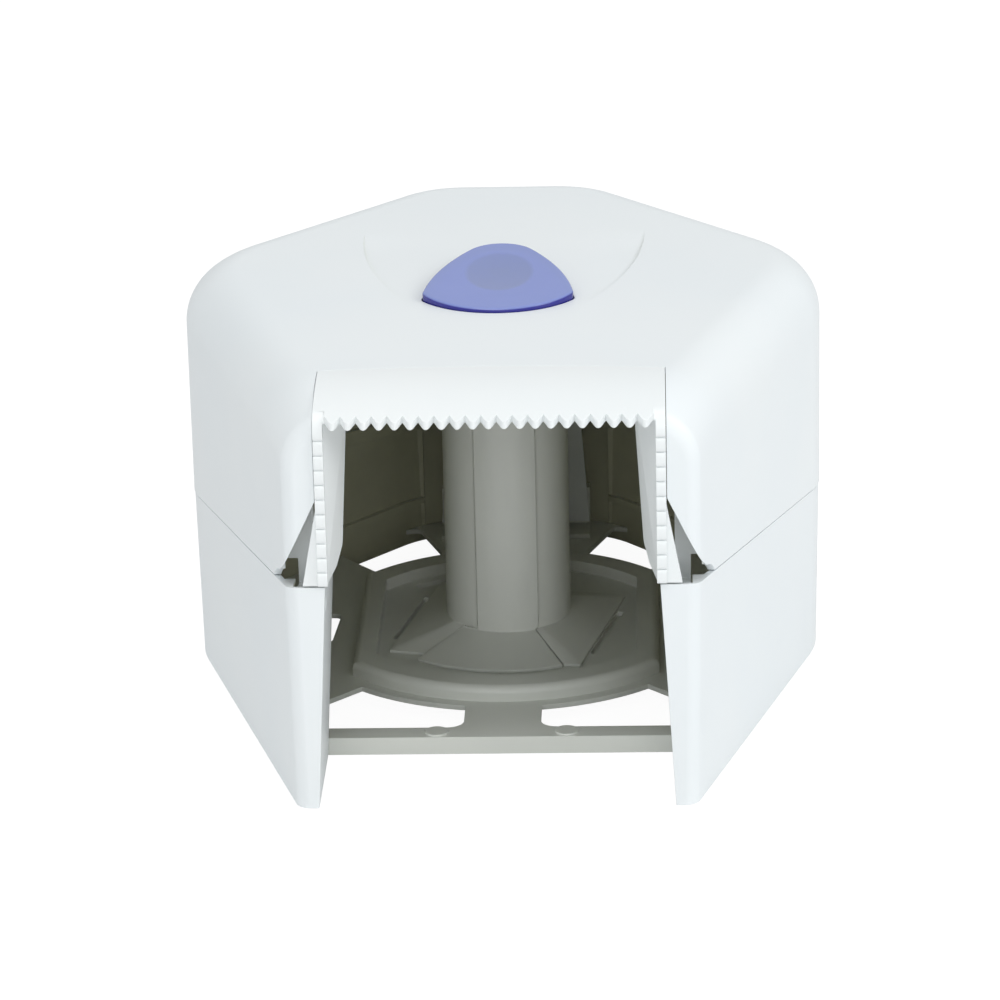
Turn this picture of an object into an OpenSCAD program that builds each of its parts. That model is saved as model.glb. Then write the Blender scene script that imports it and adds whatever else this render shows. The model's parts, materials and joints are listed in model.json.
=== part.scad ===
/* [Body] */
// Width across the two widest corners
body_w = 240; // [236:1:246]
// Height of the cover's top above the wall plane
cover_z = 153; // [151:0.5:156]
// From the spindle's axis to the front faces beside the paper outlet
front_reach = 157; // [155:0.5:159]
// From the spindle's axis to the outside of the far wall
far_reach = 127.5; // [126:0.5:130]
// Half width of the casing at its front faces
front_half_w = 72; // [71:0.5:74]
// Radius of the widest corners seen from above
corner_r = 65; // [55:1:72]
// Radius of the far corners seen from above
shoulder_r = 40; // [34:1:46]
// From the spindle's axis back to the centres of the widest corners' arcs
corner_reach = 5.25; // [3.5:0.25:7]
// Half width of the far wall between its corners
far_half_w = 18.6; // [16:0.2:21]
// Wall thickness of both casings
wall = 2.5; // [2.2:0.1:3]
// Rolled edge between the cover's top and its sides
edge_r = 20; // [17:0.5:22]
// How much the rear housing narrows on each side at the wall plane
draft = 1.2; // [0.6:0.1:1.8]
// Rounding of the upright edges beside the front faces
front_round = 4; // [2.5:0.25:4.5]

/* [Front bend of the cover] */
// From the front faces back to where the top starts to bend down
bend_run = 33; // [32:0.5:34]
// Radius of the bend
bend_r = 98; // [92:1:104]

/* [Parting line] */
// Height of the parting line at the front faces
parting_z = 84; // [83.5:0.25:85]
// Slope of the parting line towards the wall, in degrees
parting_slope = 6.73; // [6.5:0.1:7]
// Shadow gap between cover and rear housing
parting_gap = 0.4; // [0.3:0.05:0.6]
// Height of the lip inside the parting line
lip_h = 3; // [2:0.25:3.5]
// Thickness of the lip
lip_t = 1.2; // [1:0.1:1.4]
// Clearance between the lip and the cover's wall
lip_gap = 0.5; // [0.4:0.05:0.7]
// From the front faces back to the lip's front ends
lip_run = 39; // [35:1:44]

/* [Cheeks beside the outlet] */
// Half width of the outlet at the parting line
cheek_in = 58.6; // [58:0.1:59]
// Half width of the outlet at the wall plane
cheek_foot_in = 63.5; // [63:0.1:64]
// Thickness of the inner return walls
cheek_t = 2.2; // [1.8:0.1:2.4]
// Depth of the ledges at the outer ends of the cheeks' tops
ledge_d = 14; // [12:0.25:15]

/* [Hinge] */
// From the front faces back to the hinge axis
hinge_run = 8.5; // [8.2:0.1:8.7]
// Height of the hinge axis above the wall plane
hinge_z = 74.5; // [74.2:0.1:74.8]
// Radius of a hinge pin
pin_r = 2.5; // [2:0.1:2.8]
// Radial running clearance of a pin in the cover's ear
pin_gap = 0.06; // [0.03:0.01:0.09]
// Radius of the cover's ears
ear_r = 5.4; // [4.8:0.1:5.5]
// Thickness of an ear
ear_w = 5.6; // [5:0.1:6]
// Side clearance of an ear between its bosses
ear_gap = 0.35; // [0.25:0.05:0.5]
// Radius of the bosses that hold the pins
boss_r = 5.2; // [4.6:0.1:5.4]
// Width of the inner pin boss
boss_w = 2.2; // [1.8:0.1:2.4]
// Radius kept clear round the hinge axis
sweep_r = 12.9; // [12.7:0.1:13.2]
// From the hinge axis back to the arm's riser
arm_run = 13.5; // [13.2:0.1:14]
// Depth of the arm's riser along the casing
riser_t = 6.5; // [5.5:0.25:7.5]
// Height of the arm's riser above the hinge axis
riser_h = 40; // [34:1:44]
// Top of the low arm above the hinge axis
arm_up = 3.5; // [3:0.1:3.8]
// Bottom of the low arm below the hinge axis
arm_down = 5.4; // [4.8:0.1:5.5]
// Height above the hinge axis at which the arm joins the side wall
gusset_up = 12.5; // [12:0.25:14]

/* [Tear bar] */
// Half width of the tear bar's insert
bar_half_w = 61; // [60.5:0.1:61.4]
// Thickness of the insert's plate
bar_t = 2.6; // [2.2:0.1:3]
// Seam gap round the insert
seam_gap = 0.2; // [0.15:0.05:0.4]
// How far the legs' toothed edges stand out from the front faces
leg_out = 1.6; // [1.2:0.1:2]
// Height of the guide walls' rear edges above the legs' feet
guide_rise = 10.4; // [8:0.2:13]
// Run of the slant at the guide walls' lower ends
guide_slant = 5; // [4:0.25:6]
// Rounding of the corners of that slant
guide_round = 3; // [1.5:0.25:4]
// How far the seam bows towards the button at its middle
seam_bow = 3.4; // [2.4:0.2:4]
// Spacing of the teeth
tooth_pitch = 5.4; // [5:0.1:6]
// Number of teeth along the top edge
teeth_n = 21; // [17:2:23]
// Depth of a tooth
tooth_h = 3.6; // [2.6:0.2:4]
// Width of the toothed edge of a leg
leg_w = 3.5; // [3:0.1:4]
// Depth of a leg behind its teeth
leg_d = 5; // [4:0.25:6]
// Height of the legs' feet above the wall plane
foot_z = 84.6; // [84.3:0.1:85.2]
// Height of the highest notch in a leg
notch_top_z = 138.6; // [134:0.2:140]
// Depth of a notch
notch_d = 1; // [0.6:0.1:1.5]
// Height of a notch
notch_w = 0.6; // [0.4:0.1:1]
// Half width between the rear edges of the guide walls at the cover's top
guide_in = 49.5; // [48:0.5:52]
// How far the guide walls lean out towards their feet
guide_lean = 4; // [3:0.25:4.5]
// Run of the guide walls towards the spindle
guide_run = 14; // [12:0.5:16]
// Thickness of a guide wall
guide_t = 1.8; // [1.5:0.1:2.2]
// Height of the wedge of bare leg above the foot
flare_h = 31; // [27:1:32]
// Width of that wedge at the foot
flare_w = 5.4; // [4.4:0.2:5.8]
// Width of the fixing flange under the cover
flange_w = 14; // [12:0.5:16]
// Thickness of the fixing flange
flange_t = 2.4; // [2:0.1:2.8]

/* [Cover corners beside the tear bar] */
// Height at which the slanted corner cut meets the tear bar
corner_cut_z = 116; // [112:1:118]
// Sideways run of the corner cut
corner_cut_w = 14.5; // [13:0.5:15]
// Drop of the corner cut
corner_cut_h = 30; // [28:0.5:31]
// Length of the corner cut along the casing
corner_cut_d = 12; // [11:0.5:13]

/* [Back plate] */
// Height of the back plate's sheet above the wall plane
sheet_z = 6.7; // [6.2:0.1:7.5]
// Thickness of the sheet
sheet_t = 2; // [1.8:0.1:2.6]
// Gap between the back plate and the casing's wall
plate_gap = 0.25; // [0.15:0.05:0.4]
// From the front faces back to the front edge of the cross bar
crossbar_run = 48.4; // [47:0.2:50]
// Depth of the cross bar
crossbar_d = 9.6; // [8.5:0.2:11]
// Half width of the arm between hub and cross bar
arm_half_w = 14.2; // [13:0.2:16]
// Radius of the fillets at the arm's foot
arm_fillet_r = 6; // [4:0.5:7]
// Radius of the round pads on the cross bar
pad_r = 4.3; // [3.6:0.1:4.6]
// Height of the round pads
pad_h = 0.7; // [0.4:0.1:1]
// Spacing of the round pads
pad_span = 47.6; // [44:0.2:52]
// Corner radius of the openings in the sheet
window_r = 5; // [3:0.5:6]

/* [Hub] */
// Radius of the disc under the hub's rim
hub_r = 77; // [75.5:0.5:78]
// Outer radius of the raised rim
rim_r = 75; // [74:0.5:76]
// Half width of the rim across its flats
rim_flat = 58; // [56:0.5:60]
// Inner radius of the raised rim
well_r = 63; // [61:0.5:65]
// Half width of the well across its flats
well_flat = 49.5; // [48:0.5:51]
// Height of the rim's top above the wall plane
rim_z = 12.6; // [11.5:0.2:13.5]
// Edge radius of the rim
rim_edge_r = 3; // [2:0.25:3.5]
// Height of the well's floor above the wall plane
well_z = 8; // [7.6:0.1:8.4]
// Thickness of the well's floor
floor_t = 2.3; // [2:0.1:2.6]
// Width of the slots round the spindle's foot
slot_w = 2.4; // [2:0.1:3]
// Outer radius of the stiffening ring under the hub
skirt_r = 60; // [57:0.5:62]

/* [Spindle] */
// Radius of the spindle's post
post_r = 24; // [22:0.25:25]
// Height of the post's top above the wall plane
post_z = 112; // [106:1:114]
// Wall of the post
post_wall = 2.4; // [2:0.1:3]
// Half side of the square foot
foot_half = 37.5; // [36:0.5:39]
// Height at which the foot meets the post
foot_top_z = 15; // [14:0.25:16.5]
// Turn of the foot about the spindle's axis, in degrees
foot_turn = -13; // [-18:1:-8]
// Reach of the front petal from the spindle's axis
petal_reach = 50; // [48:0.5:52]
// Half angle of the front petal, in degrees
petal_half_a = 34; // [30:1:38]
// Direction of the front petal, in degrees
petal_a = -98.5; // [-102:0.5:-94]
// Thickness of the raised key strip on the post
key_t = 1.4; // [1:0.1:2]
// Left edge of the key strip from the spindle's axis
key_left = 11.4; // [9:0.2:12]
// Right edge of the key strip from the spindle's axis
key_right = 12; // [10.6:0.2:14]

/* [Button] */
// Height of the button's front edge above the cover's top
button_edge = 1.6; // [1.3:0.1:2]
// Rise of the button's face from front to back
button_tilt_h = 5; // [4.4:0.2:5.6]
// Height of the rounded rim of the face
button_dome = 0.8; // [0.5:0.1:1.2]
// Width of the rounded rim of the face
button_roll = 1.2; // [0.8:0.1:2]
// Gap between the button and the cover
button_gap = 0.5; // [0.4:0.05:0.7]
// Travel of the button
press = 4.5; // [4:0.1:4.8]
// Radius of the thumb dimple
dimple_r = 12; // [11:0.5:13]
// Depth of the thumb dimple
dimple_d = 0.8; // [0.5:0.1:1]
// Depth of the crowned recess round the button
dish_d = 1.2; // [0.8:0.1:1.4]
// Width of the button across its tips
button_w = 56; // [54:0.5:57]
// Width of the crowned recess
dish_w = 108; // [104:1:110]
// Width of the rim that keeps the button in
button_rim_w = 2; // [1.6:0.1:2.2]
// Thickness of that rim
button_rim_t = 1.8; // [1.6:0.1:2.2]

/* [Latch] */
// Height of the latch housing's flange top above the wall plane
housing_z = 143; // [142.6:0.1:143.4]
// Thickness of the housing's plates
housing_t = 2.4; // [2:0.1:2.6]
// Height of the housing's floor below its flange top
housing_h = 21; // [20.5:0.25:22]
// Half width of the plunger
plunger_half = 7.5; // [7.2:0.1:7.8]
// Length of the plunger along the casing
plunger_l = 18; // [17:0.25:19]
// From the spindle's axis to the plunger's middle, towards the outlet
plunger_reach = 15; // [14.5:0.25:15.5]
// Radius of the plunger's pegs
peg_r = 2; // [1.8:0.1:2.2]
// Clearance of a peg in its slanted slot
peg_gap = 0.2; // [0.15:0.05:0.3]
// Thickness of the fork's side plates
fork_t = 3; // [2.6:0.1:3.2]
// Sliding clearance inside the latch
slide_gap = 0.4; // [0.3:0.05:0.5]
// Thickness of the latch strap
strap_t = 2.5; // [2:0.1:2.7]
// Half width of the latch strap
strap_half = 12; // [11:0.25:12.5]
// From the spindle's axis to the hook's inner face
hook_reach = 105.5; // [104:0.25:106]
// Thickness of the hook
hook_t = 2.5; // [2.2:0.1:2.8]
// Half width of the hook at its lower end
hook_foot_half = 30.3; // [28:0.5:31]
// Half width of the hook at its upper end
hook_head_half = 20.7; // [19:0.5:23]
// Height of the hook's lower end above the wall plane
hook_z = 12; // [11:0.25:12.6]
// Spacing of the two noses
nose_span = 44.8; // [40:0.5:46]
// Width of a nose
nose_w = 6; // [5:0.25:7]
// Height of a nose
nose_h = 6; // [5:0.25:6.5]
// From the spindle's axis to the inner face of the strike plate
strike_reach = 113; // [112.6:0.1:113.4]
// Thickness of the strike plate
strike_t = 2; // [1.8:0.1:2.2]
// Height of the strike plate's top above the wall plane
strike_z = 24; // [22:0.5:25]

// Half width of the latch housing's flange
housing_half = 41; // [40:0.5:44]
// Length of the latch housing along the casing
housing_l = 38; // [36:0.5:38.4]
// From the spindle's axis to the housing's far end
housing_end = 6; // [5.8:0.1:6.2]
// Spacing of the housing's screws across the casing
housing_screw_x = 72; // [71:0.5:74]
// Spacing of the housing's screws along the casing
housing_screw_y = 26; // [22:1:28]
// From the spindle's axis to the guide's middle
guide_reach = 74; // [66:1:78]
// Length of the guide along the casing
guide_l = 12; // [10:0.5:14]
// Half width of the guide
guide_half = 22; // [21:0.25:24]
// Length of the flange that joins hook and strap
hook_flange_l = 14; // [12:0.5:16]
// Reach of the noses past the hook
nose_reach = 7.5; // [7.2:0.1:7.6]
// Height of the spring pocket in the plunger
pocket_h = 9; // [8:0.25:10]

/* [Spring] */
// Length of the spring at rest
spring_len = 15; // [14:0.25:16]
// Middle radius of the button's spring
spring_r = 4.2; // [3.6:0.1:4.4]
// Wire radius of the spring
wire_r = 0.4; // [0.3:0.05:0.5]
// Curls of the spring
spring_turns = 6; // [4:1:7]

/* [Screws and wall holes] */
// Shank radius of the small screws
screw_r = 1.5; // [1.3:0.1:1.7]
// Head radius of the small screws
head_r = 3; // [2.6:0.1:3.2]
// Head height of the small screws
head_h = 2; // [1.6:0.1:2.2]
// Radius of a screw boss
screw_boss_r = 3.8; // [3.4:0.1:4.2]
// Radius of a wall screw's hole
wall_hole_r = 2.6; // [2.2:0.1:3]
// Radius of the boss round a wall screw's hole
wall_boss_r = 6.5; // [5.5:0.25:7.5]
// From the widest corners in to the wall holes
wall_hole_edge = 30; // [28:0.5:34]
// Spacing of the wall holes along the casing
wall_hole_y = 96; // [90:1:104]

/* [Hidden] */

// Overrun of every cut past the face that it opens
over = 1;
// Small lap by which moulded features enter the wall that carries them
lap = 0.4;
// Steps of a rounded edge and of a rounded corner
edge_steps = 7;
corner_steps = 13;
corner_front_steps = 4;
bend_steps = 7;
round_steps = 3;
wrap_steps = 36;
round_fn = 96;
small_fn = 48;

// The spindle's axis lies behind the middle of the casing, whose front is the teeth
spindle_y = (front_reach + tooth_h - far_reach) / 2;

// Places measured from the spindle's axis
bend_reach = front_reach - bend_run;
lip_reach = front_reach - lip_run;
hinge_reach = front_reach - hinge_run;
crossbar_reach = front_reach - crossbar_run;
cheek_depth = crossbar_run - plate_gap;
wall_hole_x = body_w - wall_hole_edge * 2;

// The side wall touches the widest corner's arc, and the shoulder wall both corners' arcs
function turn(a) = [cos(a), sin(a)];
function tangent_a(gap, reach) = atan2(gap[1], gap[0]) + acos(reach / norm(gap));
corner_c = [body_w / 2 - corner_r, corner_reach];
shoulder_c = [far_half_w, far_reach - shoulder_r];
side_lean = -tangent_a([front_half_w, -front_reach] - corner_c, corner_r);
shoulder_a = tangent_a(corner_c - shoulder_c, shoulder_r - corner_r);
side_n = turn(-side_lean);
side_dist = side_n * [front_half_w, -front_reach];
function side_x(y, inset) = (side_dist - inset - side_n[1] * y) / side_n[0];

// How far the rounded front corner draws the wall in at y
function corner_drop(y) = let (left = front_round - front_reach - y)
    left <= 0 ? 0 : front_round - sqrt(max(0, pow(front_round, 2) - left * left));

// Steps along the side wall through the rounding, and on through the bend to the flat top
function round_y(i, front_y) = front_y
    + (front_round - front_reach - front_y) * (1 - cos(90 * i / round_steps));
function bend_y(i) = front_round - front_reach + (bend_run - front_round) * i / bend_steps;

// Angles of the widest corner's steps, one of them straight to the side
function corner_a(i) = i < corner_front_steps ? side_lean * (i / corner_front_steps - 1)
    : shoulder_a * (i - corner_front_steps) / (corner_steps - corner_front_steps);

// Right half of the casing's outline from the front to the far wall, drawn in by inset, with the
// share of the front rounding that shows at this height
function half_outline(inset, front_y, share) = concat(
    [for (i = [0 : round_steps]) let (y = round_y(i, front_y))
        [side_x(y, inset + share * corner_drop(y)), y]],
    [for (i = [1 : bend_steps]) [side_x(bend_y(i), inset), bend_y(i)]],
    [for (i = [0 : corner_steps]) corner_c + (corner_r - inset) * turn(corner_a(i))],
    [for (i = [0 : corner_steps]) let (a = shoulder_a + (90 - shoulder_a) * i / corner_steps)
        shoulder_c + (shoulder_r - inset) * turn(a)]);

// Height of the bent top over y, for a surface that lies depth below the outside
function top_z(y, depth) =
    let (past = max(0, -bend_reach - y))
    cover_z - bend_r + sqrt(pow(bend_r - depth, 2) - past * past);

function mirrored(half) = concat(half,
    [for (i = [len(half) - 1 : -1 : 0]) [-half[i][0], half[i][1]]]);

// Solid between rings of equal length, capped by strips that run straight across
module ringed_solid(rings) {
    n = len(rings[0]);
    m = n / 2;
    last = len(rings) - 1;
    side = [for (k = [0 : last - 1], j = [0 : n - 1])
        [k * n + j, (k + 1) * n + j, (k + 1) * n + (j + 1) % n, k * n + (j + 1) % n]];
    foot = [for (j = [0 : m - 2]) [j, j + 1, n - 2 - j, n - 1 - j]];
    head = [for (j = [0 : m - 2])
        [last * n + n - 1 - j, last * n + n - 2 - j, last * n + j + 1, last * n + j]];
    polyhedron(points = [for (ring = rings, p = ring) p], faces = concat(side, foot, head));
}

function flat_ring(inset, front_y, z) =
    [for (p = mirrored(half_outline(inset, front_y, 1))) [p[0], p[1], z]];

// One ring of the rolled top edge, a quarter turn from the side up to the top
function edge_ring(depth, front_y, share) =
    let (a = 90 * share, r = edge_r - depth)
    [for (p = mirrored(half_outline(depth + r * (1 - cos(a)), front_y, cos(a))))
        let (drop = corner_drop(p[1]))
        [p[0], p[1], top_z(p[1], depth + drop) - (r - drop) * (1 - sin(a))]];

// Outside of the cover, or the space inside it at the given depth
module cover_form(depth, front_y, low_z) {
    ringed_solid(concat([flat_ring(depth, front_y, low_z)],
        [for (i = [0 : edge_steps]) edge_ring(depth, front_y, i / edge_steps)]));
}

// Outside of the rear housing, or the space inside it at the given depth
module base_form(depth, front_y, low_z, high_z) {
    ringed_solid([
        flat_ring(depth + draft * (1 - low_z / parting_z), front_y, low_z),
        flat_ring(depth + draft * (1 - high_z / parting_z), front_y, high_z)]);
}

// Everything above the parting line, raised by lift
module above_parting(lift) {
    translate([0, -front_reach, parting_z + lift]) rotate([-parting_slope, 0, 0])
        translate([-body_w, -body_w, 0]) cube([body_w * 2, body_w * 4, cover_z * 2]);
}

module placed() {
    translate([0, spindle_y, 0]) children();
}

module both_sides() {
    children();
    mirror([1, 0, 0]) children();
}

// Shape drawn in Y and Z, carried along X from x0 over width w
module across(x0, w) {
    translate([x0, 0, 0]) rotate([90, 0, 90]) linear_extrude(w) children();
}

// Shape drawn in X and Z, carried along Y from y0 over depth d
module along(y0, d) {
    translate([0, y0 + d, 0]) rotate([90, 0, 0]) linear_extrude(d) children();
}

module x_rod(x0, w, r) {
    translate([x0, -hinge_reach, hinge_z]) rotate([0, 90, 0]) cylinder(r = r, h = w, $fn = small_fn);
}

module z_rod(at, z0, h, r) {
    translate([at[0], at[1], z0]) cylinder(r = r, h = h, $fn = small_fn);
}

// Screw whose head's bearing face is at z; up is 1 when its shank points up and -1 when down
module screw(at, z, up, shank) {
    z_rod(at, up > 0 ? z - lap : z - shank, shank + lap, screw_r);
    difference() {
        z_rod(at, up > 0 ? z - head_h : z, head_h, head_r);
        translate([at[0], at[1], up > 0 ? z - head_h * screw_socket_share : z + head_h / 2])
            cylinder(r = head_r / 2, h = head_h, $fn = 6);
    }
}

// Outline that follows a table of arcs [start angle, x, y, radius], on the right from the front
// to the back and mirrored on the left, drawn in by inset and scaled by size
function arc_at(arcs, a) = let (past = [for (arc = arcs) if (arc[0] <= a) arc]) past[len(past) - 1];
function wrap(arcs, size, inset, steps) = mirrored([for (i = [0 : steps - 1])
    let (a = -90 + 180 * (i + 0.5) / steps, arc = arc_at(arcs, a))
    size * [arc[1], arc[2]] + (size * arc[3] - inset) * turn(a)]);

// Polygon with each corner rounded by radius r
function unit(v) = v / norm(v);
function rounded(points, r, steps) = [for (i = [0 : len(points) - 1])
    let (n = len(points), p = points[i],
        u = unit(points[(i + n - 1) % n] - p), v = unit(points[(i + 1) % n] - p),
        half = acos(u * v) / 2, c = p + unit(u + v) * r / sin(half),
        t0 = p + u * r / tan(half), t1 = p + v * r / tan(half),
        a0 = atan2((t0 - c)[1], (t0 - c)[0]), a1 = atan2((t1 - c)[1], (t1 - c)[0]),
        d = a1 - a0, sweep = d > 180 ? d - 360 : d < -180 ? d + 360 : d)
    for (k = [0 : steps]) c + r * turn(a0 + sweep * k / steps)];

// Heights inside the cover
cover_in_z = cover_z - wall;
button_low_z = cover_in_z - button_gap - button_rim_t;
button_z = cover_z + button_edge;
housing_floor_z = housing_z - housing_h;
plunger_top_z = button_low_z + button_rim_t;
plunger_low_z = housing_floor_z + spring_len - pocket_h;
peg_z = plunger_low_z + pocket_h / 3;
plunger_y = -plunger_reach;
strap_z = button_low_z - press - slide_gap - strap_t;
fork_in = plunger_half + slide_gap;
fork_out = fork_in + fork_t;
housing_in = fork_out + slide_gap * 2;
housing_y = housing_end - housing_l;
housing_boss_y = [housing_y + head_r * 2, housing_y + head_r * 2 + housing_screw_y];
plunger_front = plunger_y - plunger_l / 2;
fork_high_z = plunger_top_z - press * 2;
hook_flange_y = hook_reach - hook_flange_l;

// Arcs of the button's outline and of the recess round it, as shares of their widths
button_shares = [[-90, 0, 0, 1.0357], [-66.8, 0.348, -0.8125, 0.1518],
    [3.6, -1.282, -0.916, 1.786], [33.4, 0, -0.0714, 0.25]];
dish_shares = [[-90, 0, -0.37, 0.2037], [-40.1, -1.0315, 0.498, 1.5556],
    [-3.7, 0.3546, 0.4074, 0.1667]];
button_front = -button_w * (button_shares[0][2] - button_shares[0][3]);
button_back = button_w * (button_shares[3][2] + button_shares[3][3]);
riser_y = button_back + slide_gap + press / 3;

// Corners of the right-hand openings in the back plate, as shares of the hub's radius
front_window_shares = [[0.91, -0.99], [0.68, -0.745], [0.3, -0.6]];
rear_window_shares = [[0.3, 0.6], [0.387, 1.11], [0.515, 1.468], [0.605, 1.445], [0.915, 1.066],
    [0.69, 0.792], [0.5, 0.5]];
side_window_shares = [[0.885, -0.165], [1.15, -0.165], [1.15, 0.225], [0.858, 0.225]];
window_margin_share = 1.035;

// Sizes of small features as shares of the size that they follow
screw_socket_share = 1.5;
plate_boss_share = 1.4;
far_ledge_share = 1.8;
foot_slot_share = 1.2;
foot_pocket_share = 1.3;
foot_screw_share = 0.92;
foot_hole_share = 1.5;
strike_screw_share = 0.4;
strike_foot_share = 8;
strike_shank_share = 0.8;
bar_screw_share = 0.7;
bar_flange_share = 0.85;
nose_slope_share = 0.6;
guide_step_share = 0.4;
flank_share = 0.36;
blunt_share = 0.12;

// Half turn of the key's profile before it is cut back
key_turn = 60;

// Angles of the back plate's screws round the widest corners
plate_screw_as = [-13, 35];
plate_boss_h = sheet_z * plate_boss_share;

function cheek_x(z) = cheek_foot_in + (cheek_in - cheek_foot_in) * z / parting_z;
hinge_wall_x = cheek_x(hinge_z);
ear_x = hinge_wall_x + cheek_t + boss_w + ear_gap;
outer_boss_x = ear_x + ear_w + ear_gap;
pin_end_x = side_x(-hinge_reach, wall) + pin_r / 4;

module rear_housing() {
    high_z = parting_z + lip_h + over;
    color("#eef2f4") placed() {
        difference() {
            union() {
                difference() {
                    base_form(0, -front_reach, 0, high_z);
                    base_form(wall, wall - front_reach, -over, high_z + over);
                    outlet_cut(high_z + over);
                }
                both_sides() cheek_return();
                both_sides() cheek_ledge();
                both_sides() hinge_bosses();
                plate_bosses();
                far_ribs();
            }
            above_parting(0);
            both_sides() x_rod(hinge_wall_x - over, pin_end_x - hinge_wall_x + over, pin_r);
            plate_screw_holes(sheet_z + plate_boss_h - over);
        }
        lip(high_z);
    }
}

module outlet_cut(high_z) {
    along(-front_reach - over, wall + over * 2) polygon([
        [-cheek_x(-over), -over], [cheek_x(-over), -over],
        [cheek_x(high_z), high_z], [-cheek_x(high_z), high_z]]);
}

module cheek_return() {
    along(-front_reach, cheek_depth) polygon([
        [cheek_x(0), 0], [cheek_x(0) + cheek_t, 0],
        [cheek_x(parting_z + over) + cheek_t, parting_z + over],
        [cheek_x(parting_z + over), parting_z + over]]);
}

// Ledge that closes a cheek's top between the hinge and the side wall
module cheek_ledge() {
    intersection() {
        translate([outer_boss_x, -front_reach + lap, parting_z - wall])
            cube([body_w, ledge_d - lap, wall + over]);
        base_form(wall - lap, -front_reach, 0, parting_z + over);
    }
}

module hinge_bosses() {
    x_rod(hinge_wall_x + cheek_t - lap, boss_w + lap, boss_r);
    intersection() {
        x_rod(outer_boss_x, front_half_w - outer_boss_x + wall * 2, boss_r);
        base_form(wall - lap, -front_reach, 0, parting_z);
    }
}

function plate_screw_at(a) =
    corner_c + (corner_r - wall - draft - screw_boss_r + lap) * turn(a);
front_screw_y = -lip_reach - screw_boss_r;
front_screw_at = [side_x(front_screw_y, wall + draft + screw_boss_r - lap), front_screw_y];
plate_screw_places = concat([for (a = plate_screw_as) plate_screw_at(a)], [front_screw_at]);

module plate_bosses() {
    both_sides() for (at = plate_screw_places) z_rod(at, sheet_z, plate_boss_h, screw_boss_r);
}

module plate_screw_holes(high_z) {
    both_sides() for (at = plate_screw_places) z_rod(at, -over, high_z + over, screw_r);
}

module plate_screws() {
    color("#9aa0a4") placed() both_sides() for (at = plate_screw_places)
        screw(at, sheet_z - sheet_t, 1, plate_boss_h);
}

// Upright ribs and a ledge on the inside of the far wall
module far_ribs() {
    intersection() {
        base_form(wall - lap, -front_reach, sheet_z, parting_z);
        both_sides() translate([hook_foot_half + wall * 3, far_reach - wall * 4, sheet_z])
            cube([wall, wall * 4, parting_z]);
    }
    intersection() {
        difference() {
            base_form(wall - lap, -front_reach, sheet_z, parting_z);
            base_form(wall * far_ledge_share, -front_reach, 0, parting_z + over);
        }
        both_sides() translate([hook_foot_half + wall * 3, well_r, sheet_z + wall * 4])
            cube([body_w, body_w, wall]);
    }
}

// Lip that stands inside the cover's wall, on a root that joins it to the housing's wall
module lip(high_z) {
    difference() {
        base_form(wall + lip_gap, -front_reach, 0, high_z);
        base_form(wall + lip_gap + lip_t, -front_reach, -over, high_z + over);
        above_parting(lip_h);
        below_parting(lip_h);
        lip_front_cut();
    }
    difference() {
        base_form(wall - lap, -front_reach, 0, high_z);
        base_form(wall + lip_gap + lip_t, -front_reach, -over, high_z + over);
        above_parting(-lap);
        below_parting(lip_h);
        lip_front_cut();
    }
}

module lip_front_cut() {
    translate([-body_w, -front_reach - body_w, -over])
        cube([body_w * 2, front_reach + body_w - lip_reach + wall * 2, cover_z]);
}

// Everything more than depth below the parting line
module below_parting(depth) {
    translate([0, -front_reach, parting_z - depth]) rotate([-parting_slope, 0, 0])
        translate([-body_w, -body_w, -cover_z * 2]) cube([body_w * 2, body_w * 4, cover_z * 2]);
}

module back_plate() {
    z0 = sheet_z - sheet_t;
    color("#a9aca0") placed() difference() {
        union() {
            difference() {
                intersection() {
                    base_form(wall + plate_gap, wall + plate_gap - front_reach, 0, parting_z);
                    translate([-body_w, -body_w, z0]) cube([body_w * 2, body_w * 2, sheet_t]);
                }
                outlet_floor_cut();
                both_sides() windows(z0);
            }
            crossbar();
            hub();
            both_sides() wall_bosses();
            strike_bosses();
        }
        hub_well();
        foot_slots();
        both_sides() wall_holes();
        plate_screw_holes(sheet_z + over);
        for (at = spindle_screw_places) z_rod(at, -over, well_z + over * 2, screw_r);
        for (at = spindle_screw_places) z_rod(at, -over, well_z - floor_t + over, head_r + lap);
        for (at = strike_screw_places) z_rod(at, wall, sheet_z, screw_r);
    }
}

// Opening in the sheet for the paper, between the cheeks and ahead of the cross bar
module outlet_floor_cut() {
    side = cheek_x(0) + cheek_t + plate_gap;
    translate([-side, -front_reach - over, -over])
        cube([side * 2, crossbar_run + over, cover_z]);
}

module windows(z0) {
    bar_y = crossbar_d - crossbar_reach;
    low = [[arm_half_w, bar_y], [hub_r * front_window_shares[0][0], bar_y]];
    front = concat(low, [for (share = front_window_shares) hub_r * share]);
    difference() {
        translate([0, 0, z0 - over]) linear_extrude(sheet_t + over * 2) {
            polygon(rounded(concat(front, [[arm_half_w, -hub_r * front_window_shares[1][0]]]),
                window_r / 4, 6));
            polygon(rounded(hub_r * rear_window_shares, window_r / 2, 6));
            polygon(rounded(hub_r * side_window_shares, window_r / 2, 6));
        }
        difference() {
            cylinder(r = hub_r * window_margin_share, h = cover_z, $fn = round_fn);
            translate([hub_r * side_window_shares[3][0] - over, -hub_r / 2, -over])
                cube([hub_r, hub_r, cover_z + over * 2]);
        }
        arm_foot_fillets(z0);
    }
}

// Concave fillets where the arm meets the cross bar
module arm_foot_fillets(z0) {
    c = [arm_half_w + arm_fillet_r, crossbar_d - crossbar_reach + arm_fillet_r];
    translate([0, 0, z0 - over]) difference() {
        translate([arm_half_w, crossbar_d - crossbar_reach, 0])
            cube([arm_fillet_r, arm_fillet_r, sheet_t + over * 3]);
        translate([c[0], c[1], -over]) cylinder(r = arm_fillet_r, h = cover_z, $fn = small_fn);
    }
}

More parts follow.
